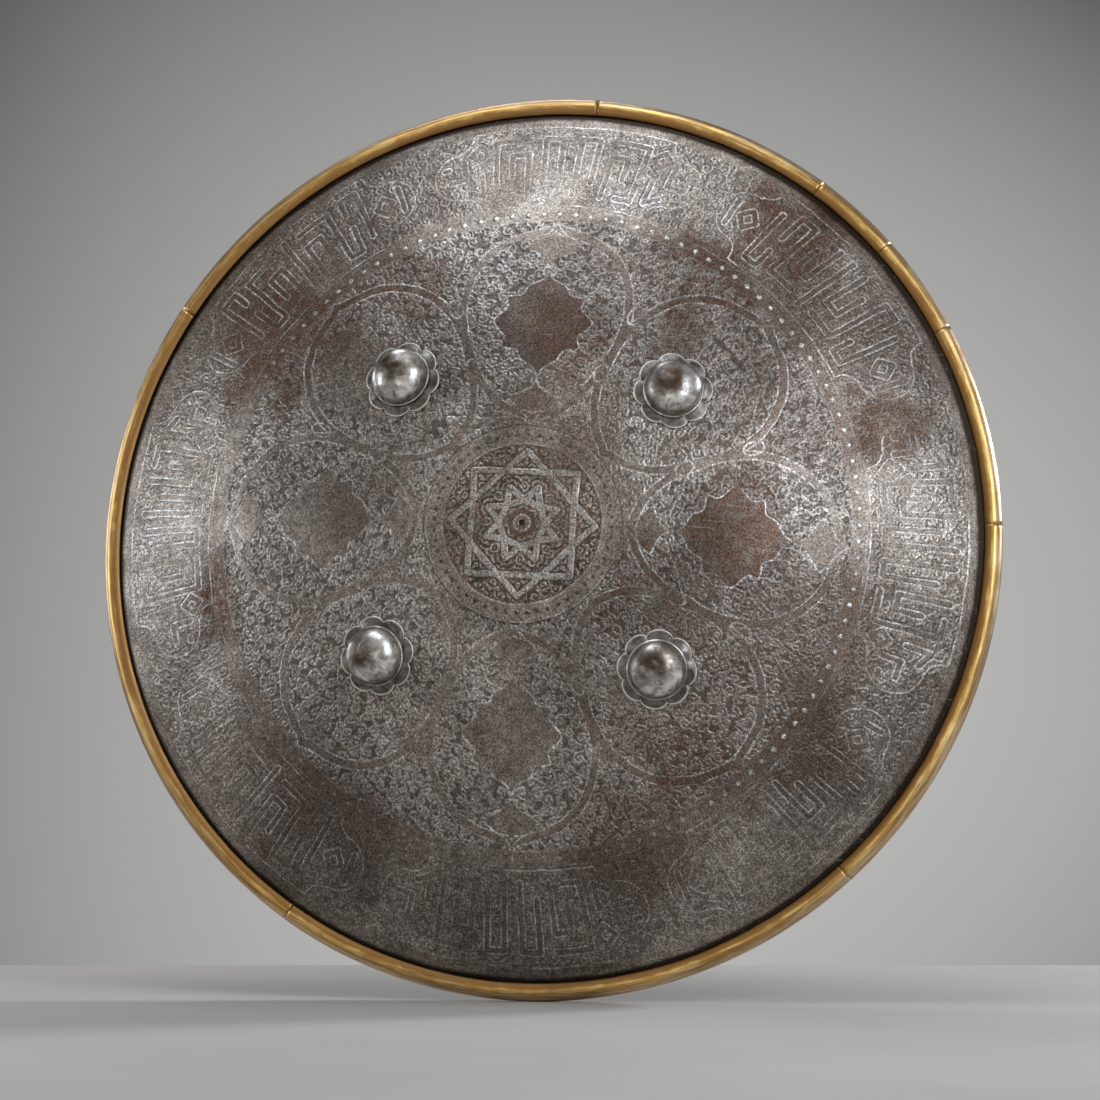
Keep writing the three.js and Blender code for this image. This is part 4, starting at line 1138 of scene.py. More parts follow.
def boss_steel(settings, name, dull):
    """Old polished steel: bright, with brown blotches, darker clouds and small scratches."""
    finish = Finish(name, metallic=1.0)
    cloud, blotch = finish.noise(9, 4, 0.6, 0.5), finish.noise(4.5, 6, 0.7, 0.8)
    speck = finish.noise(0.8, 3, 0.6)
    scratch = finish.noise(0.7, 2, 0.5, place=finish.stretched((1.0, 1.0, 0.08)))
    colour = finish.mix(finish.span(cloud, 0.38, 0.62), settings.steel,
                        [value * share for value, share in zip(settings.steel, (0.50, 0.46, 0.42))])
    browned = finish.span(blotch, 0.46, 0.62, 0.0, 0.6)
    colour = finish.mix(browned, colour, settings.stain)
    colour = finish.mix(finish.span(scratch, 0.64, 0.72, 0.0, 0.35), colour, BOSS_SCRATCHES)
    colour = finish.mix(finish.span(speck, 0.62, 0.72, 0.0, 0.4), colour, BOSS_PITS)
    if dull:
        colour = finish.mix(1.0, colour, ROSETTE_DIMMED, "MULTIPLY")
        edge = finish.attribute("edge")
        shine = finish.times(edge, finish.span(blotch, 0.3, 0.6, 0.95, 0.6))
        colour = finish.mix(shine, colour, ROSETTE_EDGE)
    else:
        crown = finish.times(finish.attribute("crown"), finish.span(cloud, 0.3, 0.6, 0.62, 1.0))
        colour = finish.mix(crown, colour, settings.stain)
    low, high = (0.30, 0.42) if dull else (0.26, 0.34)
    rough = finish.plus(finish.span(cloud, 0.35, 0.65, low, high), finish.times(browned, 0.16))
    relief = finish.plus(speck, finish.times(scratch, 1.3))
    finish.set(base_color=colour, roughness=rough, normal=finish.bump(relief, 0.02 + 0.02 * dull))
    return finish.material


# Back fittings: washers, ring bolts and rings

class FittingSettings(bpy.types.PropertyGroup):
    iron: FloatVectorProperty(name="Iron", subtype="COLOR", default=(0.20, 0.185, 0.17))
    worn: FloatVectorProperty(name="Worn iron", subtype="COLOR", default=(0.42, 0.40, 0.375))
    rust: FloatVectorProperty(name="Rust", subtype="COLOR", default=(0.13, 0.06, 0.032))
    forging: FloatProperty(name="Forging", description="Unevenness of the forged wire, in mm", default=0.16)


# Profiles of a collar and of a domed washer, as shares of their radius and thickness
COLLAR_PROFILE = ((0.86, 0.0), (0.97, 0.12), (1.0, 0.4), (1.0, 0.72), (0.95, 0.93), (0.85, 1.0))
WASHER_PROFILE = ((0.995, 0.08), (1.0, 0.25), (0.985, 0.42), (0.93, 0.58), (0.82, 0.76), (0.7, 0.89),
                  (0.55, 0.97), (0.42, 1.0))
# How far a shank reaches into its boss, and the play round it in the washer, in mm
SHANK_REACH, SHANK_PLAY = 7.0, 0.3
BOLT_SIDES, WASHER_SIDES = 40, 72
# Faces along and round the wire of an eye and of a ring
EYE_FACES, RING_FACES = (64, 20), (112, 24)


def joined(parts):
    """Points and faces of several shapes as one."""
    points, quads, fans, start = [], [], [], 0
    for part_points, part_quads, part_fans in parts:
        points.append(part_points)
        quads.append(np.asarray(part_quads) + start)
        if len(part_fans):
            fans.append(np.asarray(part_fans) + start)
        start += len(part_points)
    return np.vstack(points), np.vstack(quads), (np.vstack(fans) if fans else [])


def wire_ring(centre, axis, radius, wire, segments, sides, uneven, seed):
    """A ring of round wire that looks along an axis, a little uneven as forged wire is."""
    axis = Vector(axis).normalized()
    first = Vector((0, 0, 1)) - axis * axis.z
    first = first.normalized() if first.length > 1e-6 else Vector((1, 0, 0))
    second = axis.cross(first)
    noise = Noise(seed)
    rows = []
    turn = round_turn(sides)
    for i in range(segments):
        way = i / segments * TURN
        out = first * math.cos(way) + second * math.sin(way)
        out, along = np.array(out), np.array(axis)
        # the noise goes round with the wire, so that its two ends meet
        rough = noise(np.full(sides, 20 + 9 * math.cos(way)) + 3 * np.cos(turn),
                      np.full(sides, 20 + 9 * math.sin(way)) + 3 * np.sin(turn), 3.0, 2)
        thick = wire - uneven * rough
        rows.append(loop_points(np.array(centre) + out * radius, out, along, turn, thick, thick))
    return skin(rows, closed_row=True)


def ring_bolt(name, settings):
    """A shank through the plate, a collar against the washer, a short stem and an eye."""
    seat, tilt = corner_frame(name)
    eye_start = EYE_DEPTH - EYE_RADIUS
    profile = [(SHANK_RADIUS, BOSS_SEAT - SHANK_REACH), (SHANK_RADIUS, COLLAR_SEAT - 0.01)]
    for share, depth in COLLAR_PROFILE:
        profile.append((COLLAR_RADIUS * share, COLLAR_SEAT + COLLAR_THICKNESS * depth))
    for share in np.linspace(0, 1, 12):
        neck = STEM_RADIUS + 0.8 * (1 - share) ** 6 - 0.35 * math.sin(math.pi * share) + 0.3 * share ** 4
        profile.append((neck, COLLAR_BACK + (eye_start - COLLAR_BACK) * share))
    profile.append((STEM_RADIUS * 0.7, eye_start + 0.7))
    stem = skin(turned(profile, BOLT_SIDES))
    stem = (at_corner(name, stem[0]), stem[1], stem[2])
    eye = seat + tilt @ Vector((0, EYE_DEPTH, 0))
    loop = wire_ring(eye, (1, 0, 0), EYE_RADIUS, EYE_WIRE_RADIUS, *EYE_FACES, settings.forging, 90)
    return closed_mesh("forged_ring_bolt_" + name, *joined([stem, loop]))


def ring_centre(name):
    """The middle of a ring that hangs in its bolt's eye."""
    seat, tilt = corner_frame(name)
    return seat + tilt @ Vector((0, EYE_DEPTH, 0)) + Vector((0, 0, -RING_DROP - RING_RADIUS))


def washer(name):
    """A domed washer that holds a tab of the hide down."""
    profile = [(SHANK_RADIUS + SHANK_PLAY, WASHER_SEAT), (WASHER_RADIUS - 0.2, WASHER_SEAT)]
    for share, depth in WASHER_PROFILE:
        profile.append((WASHER_RADIUS * share, WASHER_SEAT + WASHER_THICKNESS * depth))
    profile.append((SHANK_RADIUS + SHANK_PLAY, WASHER_SEAT + WASHER_THICKNESS))
    rings = turned(profile, WASHER_SIDES)
    points, quads, _ = skin(rings, closed_row=True)
    return closed_mesh("domed_washer_" + name, at_corner(name, points), quads)


def iron(settings):
    """Forged iron: dark scale, rubbed bright where it moves, rust in the hollows."""
    finish = Finish("fitting_iron", metallic=1.0)
    scale, rust, fine = finish.noise(5, 5, 0.6), finish.noise(3.4, 6, 0.7, 0.5), finish.noise(0.8, 3, 0.6)
    colour = finish.mix(finish.span(scale, 0.36, 0.66), settings.iron, settings.worn)
    rusty = finish.span(rust, 0.52, 0.66, 0.0, 0.9)
    colour = finish.mix(rusty, colour, settings.rust)
    metal = finish.minus(1.0, finish.times(rusty, 0.75))
    rough = finish.plus(finish.span(scale, 0.36, 0.66, 0.5, 0.3), finish.times(rusty, 0.3))
    finish.set(base_color=colour, metallic=metal, roughness=rough,
               normal=finish.bump(finish.plus(fine, finish.times(scale, 1.5)), 0.09))
    return finish.material


# Leather

def leather(name, base, dark, worn, pore, gloss, crease=0.0):
    """Leather with a pebbled grain, creases, darker handled patches and rubbed edges."""
    finish = Finish(name)
    cells, fine = finish.cells(pore), finish.noise(pore * 0.6, 3, 0.6)
    patches, creases = finish.noise(22, 5, 0.6, 0.6), finish.noise(5, 4, 0.6, 2.2)
    colour = finish.mix(finish.span(patches, 0.32, 0.68), base, dark)
    colour = finish.mix(finish.span(cells, 0.25, 0.6, 0.0, 0.34), colour, [value * 0.5 for value in dark])
    colour = finish.mix(finish.span(finish.attribute("rubbed"), 0.15, 1.0, 0.0, 0.72), colour, worn)
    colour = finish.mix(finish.span(finish.noise(9, 6, 0.7), 0.56, 0.7, 0.0, 0.35), colour, worn)
    cracked = finish.span(finish.math("ABSOLUTE", finish.minus(creases, 0.5)), 0.0, 0.035, 1.0, 0.0)
    colour = finish.mix(finish.times(cracked, 0.3 + 0.3 * crease), colour, [value * 0.45 for value in dark])
    relief = finish.minus(finish.times(fine, 0.5), finish.times(cells, 0.8))
    relief = finish.minus(relief, finish.times(cracked, 0.6 + crease))
    rough = finish.span(patches, 0.3, 0.7, gloss, gloss + 0.18)
    finish.set(base_color=colour, roughness=rough, normal=finish.bump(relief, 0.22 * pore))
    return finish.material


def thread(name, colour):
    """Waxed thread, twisted finely."""
    finish = Finish(name)
    twist = finish.node("ShaderNodeTexWave", wave_type="BANDS", bands_direction="DIAGONAL")
    finish.fill(twist, Vector=finish.place, Scale=1 / (1.1 * MM), Distortion=1.5)
    shade = finish.mix(twist.outputs["Fac"], [value * 0.55 for value in colour], colour)
    soiled = finish.span(finish.noise(6, 4), 0.45, 0.7, 0.0, 0.6)
    shade = finish.mix(soiled, shade, [value * 0.4 for value in colour])
    finish.set(base_color=shade, roughness=0.62, normal=finish.bump(twist.outputs["Fac"], 0.08))
    return finish.material


def stitches(name, points, outwards, length, radius, spacing, lift=0.0):
    """A row of short raised stitches along a line of points, each sunk at both ends."""
    points, outwards = np.asarray(points, float), np.asarray(outwards, float)
    gaps = np.linalg.norm(np.diff(points, axis=0), axis=1)
    walk = np.concatenate([[0], np.cumsum(gaps)])
    count = max(int(walk[-1] / spacing), 1)
    turn = round_turn(8)
    parts = []
    for i in range(count):
        middle = (i + 0.5) * walk[-1] / count
        rows = []
        for share in np.linspace(-1, 1, 7):
            at = np.array([np.interp(middle + share * length / 2, walk, points[:, k]) for k in range(3)])
            out = np.array([np.interp(middle, walk, outwards[:, k]) for k in range(3)])
            out /= np.linalg.norm(out)
            before, after = (np.array([np.interp(middle + d, walk, points[:, k]) for k in range(3)])
                             for d in (-0.4, 0.4))
            way = (after - before) / max(np.linalg.norm(after - before), 1e-9)
            side = np.cross(way, out)
            thick = radius * (1 - 0.55 * abs(share) ** 4)
            centre = at + out * (lift + radius * (1.1 * (1 - share ** 2) - 0.5))
            rows.append(loop_points(centre, side, out, turn, thick, thick * 0.8))
        parts.append(skin(rows))
    return closed_mesh(name, *joined(parts))


# Grips

class GripSettings(bpy.types.PropertyGroup):
    lean: FloatProperty(name="Lean", default=30.0,
                        description="How far a grip bows towards the shield's middle line, in mm")
    stand: FloatProperty(name="Stand", description="How far a grip bows away from the plate, in mm",
                         default=41.0)
    run: FloatProperty(name="Run", description="Length of the handles of a grip's curve, in mm", default=29.0)
    sleeve_start: FloatProperty(name="Sleeve start", subtype="FACTOR", default=0.17,
                                description="Share of the strap before its sleeve")
    pressure: FloatProperty(name="Pressure", description="Pressure inside the sleeves", default=24.0)
    swell: FloatProperty(name="Swell", description="How far a point of a sleeve may move, in mm", default=1.2)


STRAP_HALF_WIDTH, STRAP_HALF_THICKNESS = 3.5, 2.2
LOOP_WIDTH, LOOP_WALL, LOOP_MOUTH = 8.0, 2.1, 1.2
SLEEVE_RADIUS, SLEEVE_END_RADIUS = 8.8, 5.8
LOOP_REACH = LOOP_WIDTH / 2 + LOOP_MOUTH
LOOP_BORE = RING_WIRE_RADIUS + RING_RADIUS - math.sqrt(RING_RADIUS ** 2 - LOOP_REACH ** 2) + 0.3
# how far the sleeve's plain form lies inside its solid, and how much smaller it starts, in mm
SLEEVE_SKIN, SLEEVE_TUCK = 0.35, 0.6
SEAM_TURN = 1.5 * math.pi
STRAP_ROWS, STRAP_SIDES, STRAP_POWER = 90, 32, 4.5
LOOP_SIDES = 64
# How rubbed each row of a loop is, from its bore over one side to the other
LOOP_RUBBED = [0.1, 0.5, 0.3, 0.3, 0.6, 0.5, 0.2, 0.2, 0.5, 0.6, 0.3, 0.3, 0.5, 0.1]
# Faces round and along a sleeve, and how many rows at each end the cloth doesn't move
SLEEVE_SIDES, SLEEVE_SPANS, SLEEVE_HELD = 72, 190, 24
# Base, dark and worn colours of the leathers, and the colour of the waxed thread
STRAP_LEATHER = (0.105, 0.050, 0.026), (0.050, 0.024, 0.014), (0.26, 0.145, 0.075)
SLEEVE_LEATHER = (0.125, 0.048, 0.028), (0.058, 0.024, 0.015), (0.27, 0.135, 0.075)
HIDE_LEATHER = (0.175, 0.098, 0.052), (0.090, 0.048, 0.027), (0.33, 0.21, 0.125)
GRIP_THREAD, PAD_THREAD = (0.38, 0.29, 0.18), (0.42, 0.33, 0.20)
BINDING_PLACES, BINDING_TURNS, BINDING_STEP, CORD_RADIUS = (0.028, 0.972), 4, 0.0125, 0.62


class GripLine:
    """The curve a strap follows between the feet of two rings."""

    def __init__(self, side, settings):
        self.top, self.bottom = (ring_centre(f"{level}_{side}") - Vector((0, 0, RING_RADIUS))
                                 for level in ("upper", "lower"))
        lean = -math.copysign(settings.lean, self.top.x)
        bow = Vector((lean, settings.stand, 0))
        run = Vector((0, 0, settings.run))
        self.handles = self.top, self.top + bow - run, self.bottom + bow + run, self.bottom
        self.across = (self.bottom - self.top).cross(bow).normalized()

    def at(self, share):
        a, b, c, d = self.handles
        rest = 1 - share
        return a * rest ** 3 + b * 3 * rest ** 2 * share + c * 3 * rest * share ** 2 + d * share ** 3

    def way(self, share):
        a, b, c, d = self.handles
        rest = 1 - share
        return ((b - a) * rest ** 2 + (c - b) * 2 * rest * share + (d - c) * share ** 2).normalized()

    def outwards(self, share):
        return self.across.cross(self.way(share)).normalized()


def strap_row(line_, share, half_width, half_thickness, sides):
    """One row of points round a strap: a rounded rectangle, more square with a higher STRAP_POWER."""
    turn = (np.arange(sides) + 0.5) / sides * TURN
    cos, sin = np.cos(turn), np.sin(turn)
    across = half_width * np.sign(cos) * np.abs(cos) ** (2 / STRAP_POWER)
    out = half_thickness * np.sign(sin) * np.abs(sin) ** (2 / STRAP_POWER)
    return np.array(line_.at(share)) + np.outer(across, line_.across) + np.outer(out, line_.outwards(share))


def grip_strap(side, settings):
    """A stout strap whose ends are folded round the rings' feet and sewn."""
    line_ = GripLine(side, settings)
    # the strap starts and ends in the walls of its loops
    length = (line_.bottom - line_.top).length * 1.15
    start = (LOOP_BORE + 0.5 * LOOP_WALL) / length
    rows, rubbed = [], []
    around = (np.arange(STRAP_SIDES) + 0.5) / STRAP_SIDES * TURN
    for share in np.linspace(start, 1 - start, STRAP_ROWS):
        swell = 1 + 0.05 * math.sin(share * 50) * 0.4
        rows.append(strap_row(line_, share, STRAP_HALF_WIDTH * swell, STRAP_HALF_THICKNESS, STRAP_SIDES))
        rubbed.append(0.15 + 0.35 * np.abs(np.sin(around * 2)) ** 6)
    parts = [skin(rows)]
    rubbed = [*np.concatenate(rubbed), 0.2, 0.2]
    outer, half = LOOP_BORE + LOOP_WALL, LOOP_WIDTH / 2
    profile = [(LOOP_BORE, half - 0.5), (LOOP_BORE + 0.25, half - 0.08), (LOOP_BORE + 0.7, half),
               (outer - 0.8, half), (outer - 0.3, half - 0.15), (outer - 0.05, half - 0.5),
               (outer, half - 1.1)]
    profile += [(radius, -out) for radius, out in profile[::-1]]
    for centre in (line_.top, line_.bottom):
        turn = round_turn(LOOP_SIDES)
        loop_rows = []
        for radius, out in profile:
            loop_rows.append(np.stack([np.full(LOOP_SIDES, centre.x + out), centre.y + radius * np.sin(turn),
                                       centre.z + radius * np.cos(turn)], -1))
        parts.append(skin(loop_rows, closed_row=True))
        rubbed += list(np.repeat(LOOP_RUBBED, LOOP_SIDES))
    mesh = closed_mesh("sewn_grip_strap_" + side, *joined(parts))
    give(mesh, {"rubbed": rubbed})
    return mesh


def sleeve_form(way, settings):
    """The share along the strap, and the sleeve's radius there."""
    share = settings.sleeve_start + (1 - 2 * settings.sleeve_start) * way
    swell = abs(math.sin(math.pi * way)) ** 0.7
    return share, SLEEVE_END_RADIUS + (SLEEVE_RADIUS - SLEEVE_END_RADIUS) * swell


def grip_sleeve(side, settings):
    """A padded sleeve, sewn along its back, gathered at both ends, and wrinkled where the hand bends it."""
    line_ = GripLine(side, settings)
    noise = Noise(7 if side == "left" else 8)
    sides, spans = SLEEVE_SIDES, SLEEVE_SPANS
    plain, work, rubbed = [], [], []
    turn = (np.arange(sides) + 0.5) / sides * TURN
    for i in range(spans + 1):
        way = (1 - math.cos(math.pi * i / spans)) / 2
        share, radius = sleeve_form(way, settings)
        ends = smooth(0.14, 0.0, np.array(min(way, 1 - way)))
        gathers = 0.34 * ends * np.cos(turn * 16 + 2 * noise(turn * 6, turn * 0 + 3, 2.0, 1))
        wrinkle = 0.42 * (1 - ends) * (noise(turn * 1.5 + 9, np.full(sides, way * 46), 2.0, 3) - 0.62)
        # sewn seam along the side that faces the plate, where the edges meet in a shallow groove
        seam = np.abs(turn - SEAM_TURN)
        groove = -0.75 * np.exp(-(seam / 0.085) ** 2) + 0.25 * np.exp(-((seam - 0.22) / 0.09) ** 2)
        out = np.outer(np.cos(turn), line_.across) + np.outer(np.sin(turn), line_.outwards(share))
        plain.append(np.array(line_.at(share)) + (radius - SLEEVE_SKIN - SLEEVE_TUCK) * out)
        work.append(out * (gathers + wrinkle + groove)[:, None])
        rubbed.append(0.55 * smooth(-0.2, 0.9, np.sin(turn)) * (1 - ends) + 0.35 * ends * (gathers > 0.1))
    fixed = np.minimum(np.arange(spans + 1), np.arange(spans + 1)[::-1]) < SLEEVE_HELD
    cloth = blown_up("sleeve_" + side, plain, fixed, 3.0, settings.pressure, settings.swell)
    rows = list(cloth(np.reshape(plain, (-1, 3))).reshape(spans + 1, sides, 3) + np.array(work))
    inner = []
    for i in range(spans, -1, -10):
        share, _ = sleeve_form((1 - math.cos(math.pi * i / spans)) / 2, settings)
        inner.append(strap_row(line_, share, STRAP_HALF_WIDTH + 0.5, STRAP_HALF_THICKNESS + 0.5, sides))
        rubbed.append(np.zeros(sides))
    # the two ends are rounded over
    first, last = rows[0], rows[-1]
    rounded = [first * 0.55 + inner[-1] * 0.45, *rows, last * 0.55 + inner[0] * 0.45]
    rubbed = [rubbed[0], *rubbed[:spans + 1], rubbed[spans], *rubbed[spans + 1:]]
    mesh = closed_mesh("padded_grip_sleeve_" + side, *skin([*rounded, *inner], closed_row=True))
    give(mesh, {"rubbed": np.concatenate(rubbed)})
    return mesh, cloth


def sleeve_stitches(side, settings, cloth):
    """Stitches that zigzag along the sleeve's seam and close it."""
    line_ = GripLine(side, settings)
    points, outs = [], []
    for i, way in enumerate(np.linspace(0.05, 0.95, 200)):
        share, radius = sleeve_form(way, settings)
        swing = 0.07 * math.sin(i * math.pi / 4)
        turn = SEAM_TURN + swing
        out = line_.across * math.cos(turn) + line_.outwards(share) * math.sin(turn)
        points.append(np.array(line_.at(share) + out * (radius - SLEEVE_SKIN - SLEEVE_TUCK)))
        outs.append(np.array(out))
    points = cloth(points) - 0.4 * np.array(outs)
    return stitches("grip_seam_" + side, points, outs, 3.0, 0.42, 3.3, lift=0.1)


def end_binding(side, settings):
    """Waxed cord wound round both ends of a sleeve."""
    line_ = GripLine(side, settings)
    parts = []
    for at in BINDING_PLACES:
        for turn_index in range(BINDING_TURNS):
            way = at + (turn_index - (BINDING_TURNS - 1) / 2) * BINDING_STEP
            share, radius = sleeve_form(way, settings)
            rows = []
            centre, out_way = np.array(line_.at(share)), np.array(line_.outwards(share))
            across, way_vector = np.array(line_.across), np.array(line_.way(share))
            section = round_turn(10)
            for turn in round_turn(72):
                out = across * math.cos(turn) + out_way * math.sin(turn)
                middle = centre + out * (radius - 0.1) + way_vector * 0.25 * math.sin(turn + turn_index)
                rows.append(loop_points(middle, out, way_vector, section, CORD_RADIUS, CORD_RADIUS))
            parts.append(skin(rows, closed_row=True))
    return closed_mesh("grip_binding_" + side, *joined(parts))


# Hide and knuckle pad

class PadSettings(bpy.types.PropertyGroup):
    height: FloatProperty(name="Height", description="Height of the pad, in mm", default=17.0)
    quilting: FloatProperty(name="Quilting", description="Depth of the sewn channels, in mm", default=2.6)
    channel: FloatProperty(name="Channel", description="Space between sewn channels, in mm", default=25.5)
    tucked: FloatProperty(name="Tucked", description="How much smaller the form starts, in mm", default=2.4)
    pressure: FloatProperty(name="Pressure", description="Pressure inside the pad", default=4.0)
    swell: FloatProperty(name="Swell", description="How far a point of the pad may move, in mm", default=5.0)
    leather: FloatVectorProperty(name="Leather", subtype="COLOR", default=(0.150, 0.042, 0.022))
    worn: FloatVectorProperty(name="Worn leather", subtype="COLOR", default=(0.30, 0.135, 0.072))


HIDE_SIDE, HIDE_CORNER, HIDE_POWER = 60.0, 111.0, 3
PAD_SIDE, PAD_CORNER, PAD_POWER = 51.0, 69.0, 5
PAD_FRONT = HIDE_BACK + BED_GAP
PIPING_RADIUS = 1.35
HIDE_SIDES, HIDE_ROWS = 288, 64
# Where the hide's rounded edge begins, as a share of its outline, and how far it goes on from there
HIDE_EDGE, HIDE_EDGE_ROUND = 0.985, 0.015
# How far the hide's stitches run inside its edge and stay clear of the washers, in mm
STITCH_INSET, STITCH_CLEAR = 5.0, 2.5
PAD_SIDES, PAD_TOP_ROWS = 320, 74
# How much of the pad's height its crown adds above the shoulder
PAD_CROWN = 0.18
# Tufts as far out as this share of the pad's half width, and the points of each stitch in mm
TUFT_REACH, TUFT_STEPS = 0.78, (-2.2, -1.1, 0, 1.1, 2.2)
# the pad's side from its foot up, in shares of its outline and its height
PAD_SIDE_LINE = [(0.9, 0.0), (0.955, 0.04), (0.98, 0.12), (0.992, 0.22), (0.995, 0.31), (0.978, 0.42),
                 (0.95, 0.55), (0.92, 0.66), (0.885, 0.75), (0.845, 0.82)]


def outline_radius(angle, side, corner, power):
    """The radius of an outline with four corners, more pointed with a higher power."""
    return side + (corner - side) * np.abs(np.sin(2 * angle)) ** power


def sheet_rows(profile, sides, side, corner, power, rise):
    """Rows of points over a sheet that lies in the bowl, from shares of its outline and depths."""
    angle = round_turn(sides)
    reach = outline_radius(angle, side, corner, power)
    rows = []
    for share, depth in profile:
        x, z = share * reach * np.cos(angle), share * reach * np.sin(angle)
        rows.append(bowl_point(x, z, depth + rise(x, z)))
    return rows


def hide_backing():
    """A hide with four tabs, its edge pressed round, lying on the plate a little unevenly."""
    wave = Noise(21)

    def lift(x, z):
        loose = np.ones_like(x)
        for across, up, _ in CORNERS.values():
            loose = loose * smooth(8, 22, np.hypot(x - across, z - up))
        clear_of_pad = smooth(PAD_SIDE + 1, PAD_SIDE + 10, np.maximum(np.abs(x), np.abs(z)))
        return 1.1 * loose * clear_of_pad * wave(x + 200, z + 200, 26, 2)

    shares = np.linspace(0.0, HIDE_EDGE, HIDE_ROWS)[1:]
    profile = []
    for share in shares:
        profile.append((share, HIDE_BACK))
    for turn in np.linspace(0, math.pi, 7)[1:-1]:
        share = HIDE_EDGE + HIDE_EDGE_ROUND * math.sin(turn)
        profile.append((share, (HIDE_FRONT + HIDE_BACK) / 2 + HIDE_THICKNESS / 2 * math.cos(turn)))
    for share in shares[::-1]:
        profile.append((share, HIDE_FRONT))
    rows = sheet_rows(profile, HIDE_SIDES, HIDE_SIDE, HIDE_CORNER, HIDE_POWER, lift)
    mesh = closed_mesh("hide_backing_sheet", *skin(rows))
    rubbed = [np.full(HIDE_SIDES, 0.1 + 0.9 * smooth(0.93, 0.99, np.array(share))) for share, _ in profile]
    give(mesh, {"rubbed": [*np.concatenate(rubbed), 0, 0]})
    return mesh, lift


def hide_stitches(lift):
    """A row of stitches just inside the hide's edge, broken under the washers."""
    angle = np.linspace(0, TURN, 720)
    reach = outline_radius(angle, HIDE_SIDE, HIDE_CORNER, HIDE_POWER) - STITCH_INSET
    x, z = reach * np.cos(angle), reach * np.sin(angle)
    keep = np.ones_like(x, bool)
    for across, up, _ in CORNERS.values():
        keep &= np.hypot(x - across, z - up) > WASHER_RADIUS + STITCH_CLEAR
    points = bowl_point(x, z, HIDE_BACK + lift(x, z))
    outs = bowl_point(x, z, 20.0) - bowl_point(x, z, 0.0)
    runs = np.split(np.arange(len(x)), np.flatnonzero(np.diff(keep.astype(int))) + 1)
    parts = []
    for run in runs:
        if keep[run[0]] and len(run) > 6:
            parts.append(stitches("run", points[run], outs[run], 3.2, 0.45, 4.6, lift=0.05))
    return merged("hide_edge_stitches", parts)


def merged(name, meshes):
    """One mesh out of several, which are then removed."""
    work = bmesh.new()
    for mesh in meshes:
        work.from_mesh(mesh)
        bpy.data.meshes.remove(mesh)
    made = bpy.data.meshes.new(name)
    work.to_mesh(made)
    work.free()
    made.shade_smooth()
    return made


def channels(x, z, spacing):
    """How far a point is from the nearest sewn line of the pad's diamond quilting."""
    a, b = (x + z) / math.sqrt(2), (x - z) / math.sqrt(2)
    return np.minimum(*[np.abs(line_ - np.round(line_ / spacing) * spacing) for line_ in (a, b)])


def pad_cover(settings):
    """A crowned pad, blown up as cloth from a smaller form, then quilted in diamonds. Also gives its seam."""
    wrinkle = Noise(33)
    side_line = spline(PAD_SIDE_LINE, 4)
    rows, rubbed, shifts, ways, held = [], [], [], [], []
    angle = round_turn(PAD_SIDES)
    reach = outline_radius(angle, PAD_SIDE, PAD_CORNER, PAD_POWER) - settings.tucked

    def add(share, height, wear):
        x, z = share * reach * np.cos(angle), share * reach * np.sin(angle)
        away = channels(x, z, settings.channel)
        puff = np.minimum(away / (settings.channel / 2), 1)
        sewn = smooth(0.62, 0.86, np.array(height)) * smooth(1.0, 0.86, np.array(share))
        dip = settings.quilting * (1 - puff ** 0.55) * sewn
        fold = 0.5 * (wrinkle(x + 90, z + 90, 7, 3) - 0.5) * smooth(0.1, 0.4, np.array(height))
        rows.append(bowl_point(x, z, PAD_FRONT + (settings.height - settings.tucked) * height))
        ways.append(bowl_point(x, z, 1.0) - bowl_point(x, z, 0.0))
        shifts.append(fold - dip)
        held.append(height < 0.1)
        rubbed.append(wear + 0.5 * puff * sewn)

    for share in np.linspace(0, 0.88, 12)[1:]:
        add(share, 0.0, 0.0)
    for share, height in side_line:
        add(share, height, 0.1)
        if height < 0.27:
            seam = len(rows)
    shoulder, level = PAD_SIDE_LINE[-1]
    for way in np.linspace(0, 1, PAD_TOP_ROWS)[1:-1]:
        add(shoulder * (1 - way), level + PAD_CROWN * math.sin(math.pi / 2 * way ** 0.8), 0.1)
    rows, shifts, ways = np.array(rows), np.array(shifts), np.array(ways)
    cloth = blown_up("knuckle_pad", rows, held, 5.0, settings.pressure, settings.swell)
    rows = cloth(rows.reshape(-1, 3)).reshape(rows.shape) + ways * shifts[..., None]
    points, quads, fans = skin(rows)
    mesh = closed_mesh("quilted_knuckle_pad", points, quads, fans)
    give(mesh, {"rubbed": [*np.concatenate(rubbed), 0, 0.3]})
    return mesh, rows[seam], ways[seam], points


def pad_piping(seam, up):
    """A corded edge sewn round the pad's seam."""
    section = round_turn(12)
    way = np.roll(seam, -1, 0) - np.roll(seam, 1, 0)
    way /= np.linalg.norm(way, axis=1)[:, None]
    out = np.cross(way, up)
    out *= np.sign((out * (seam - seam.mean(0))).sum(1))[:, None]
    rows = []
    for i in range(len(seam)):
        middle = seam[i] + 0.25 * out[i]
        rows.append(loop_points(middle, out[i], up[i], section, PIPING_RADIUS, PIPING_RADIUS))
    mesh = closed_mesh("pad_corded_edge", *skin(rows, closed_row=True))
    give(mesh, {"rubbed": np.tile(0.35 + 0.4 * np.cos(section), len(seam))})
    return mesh


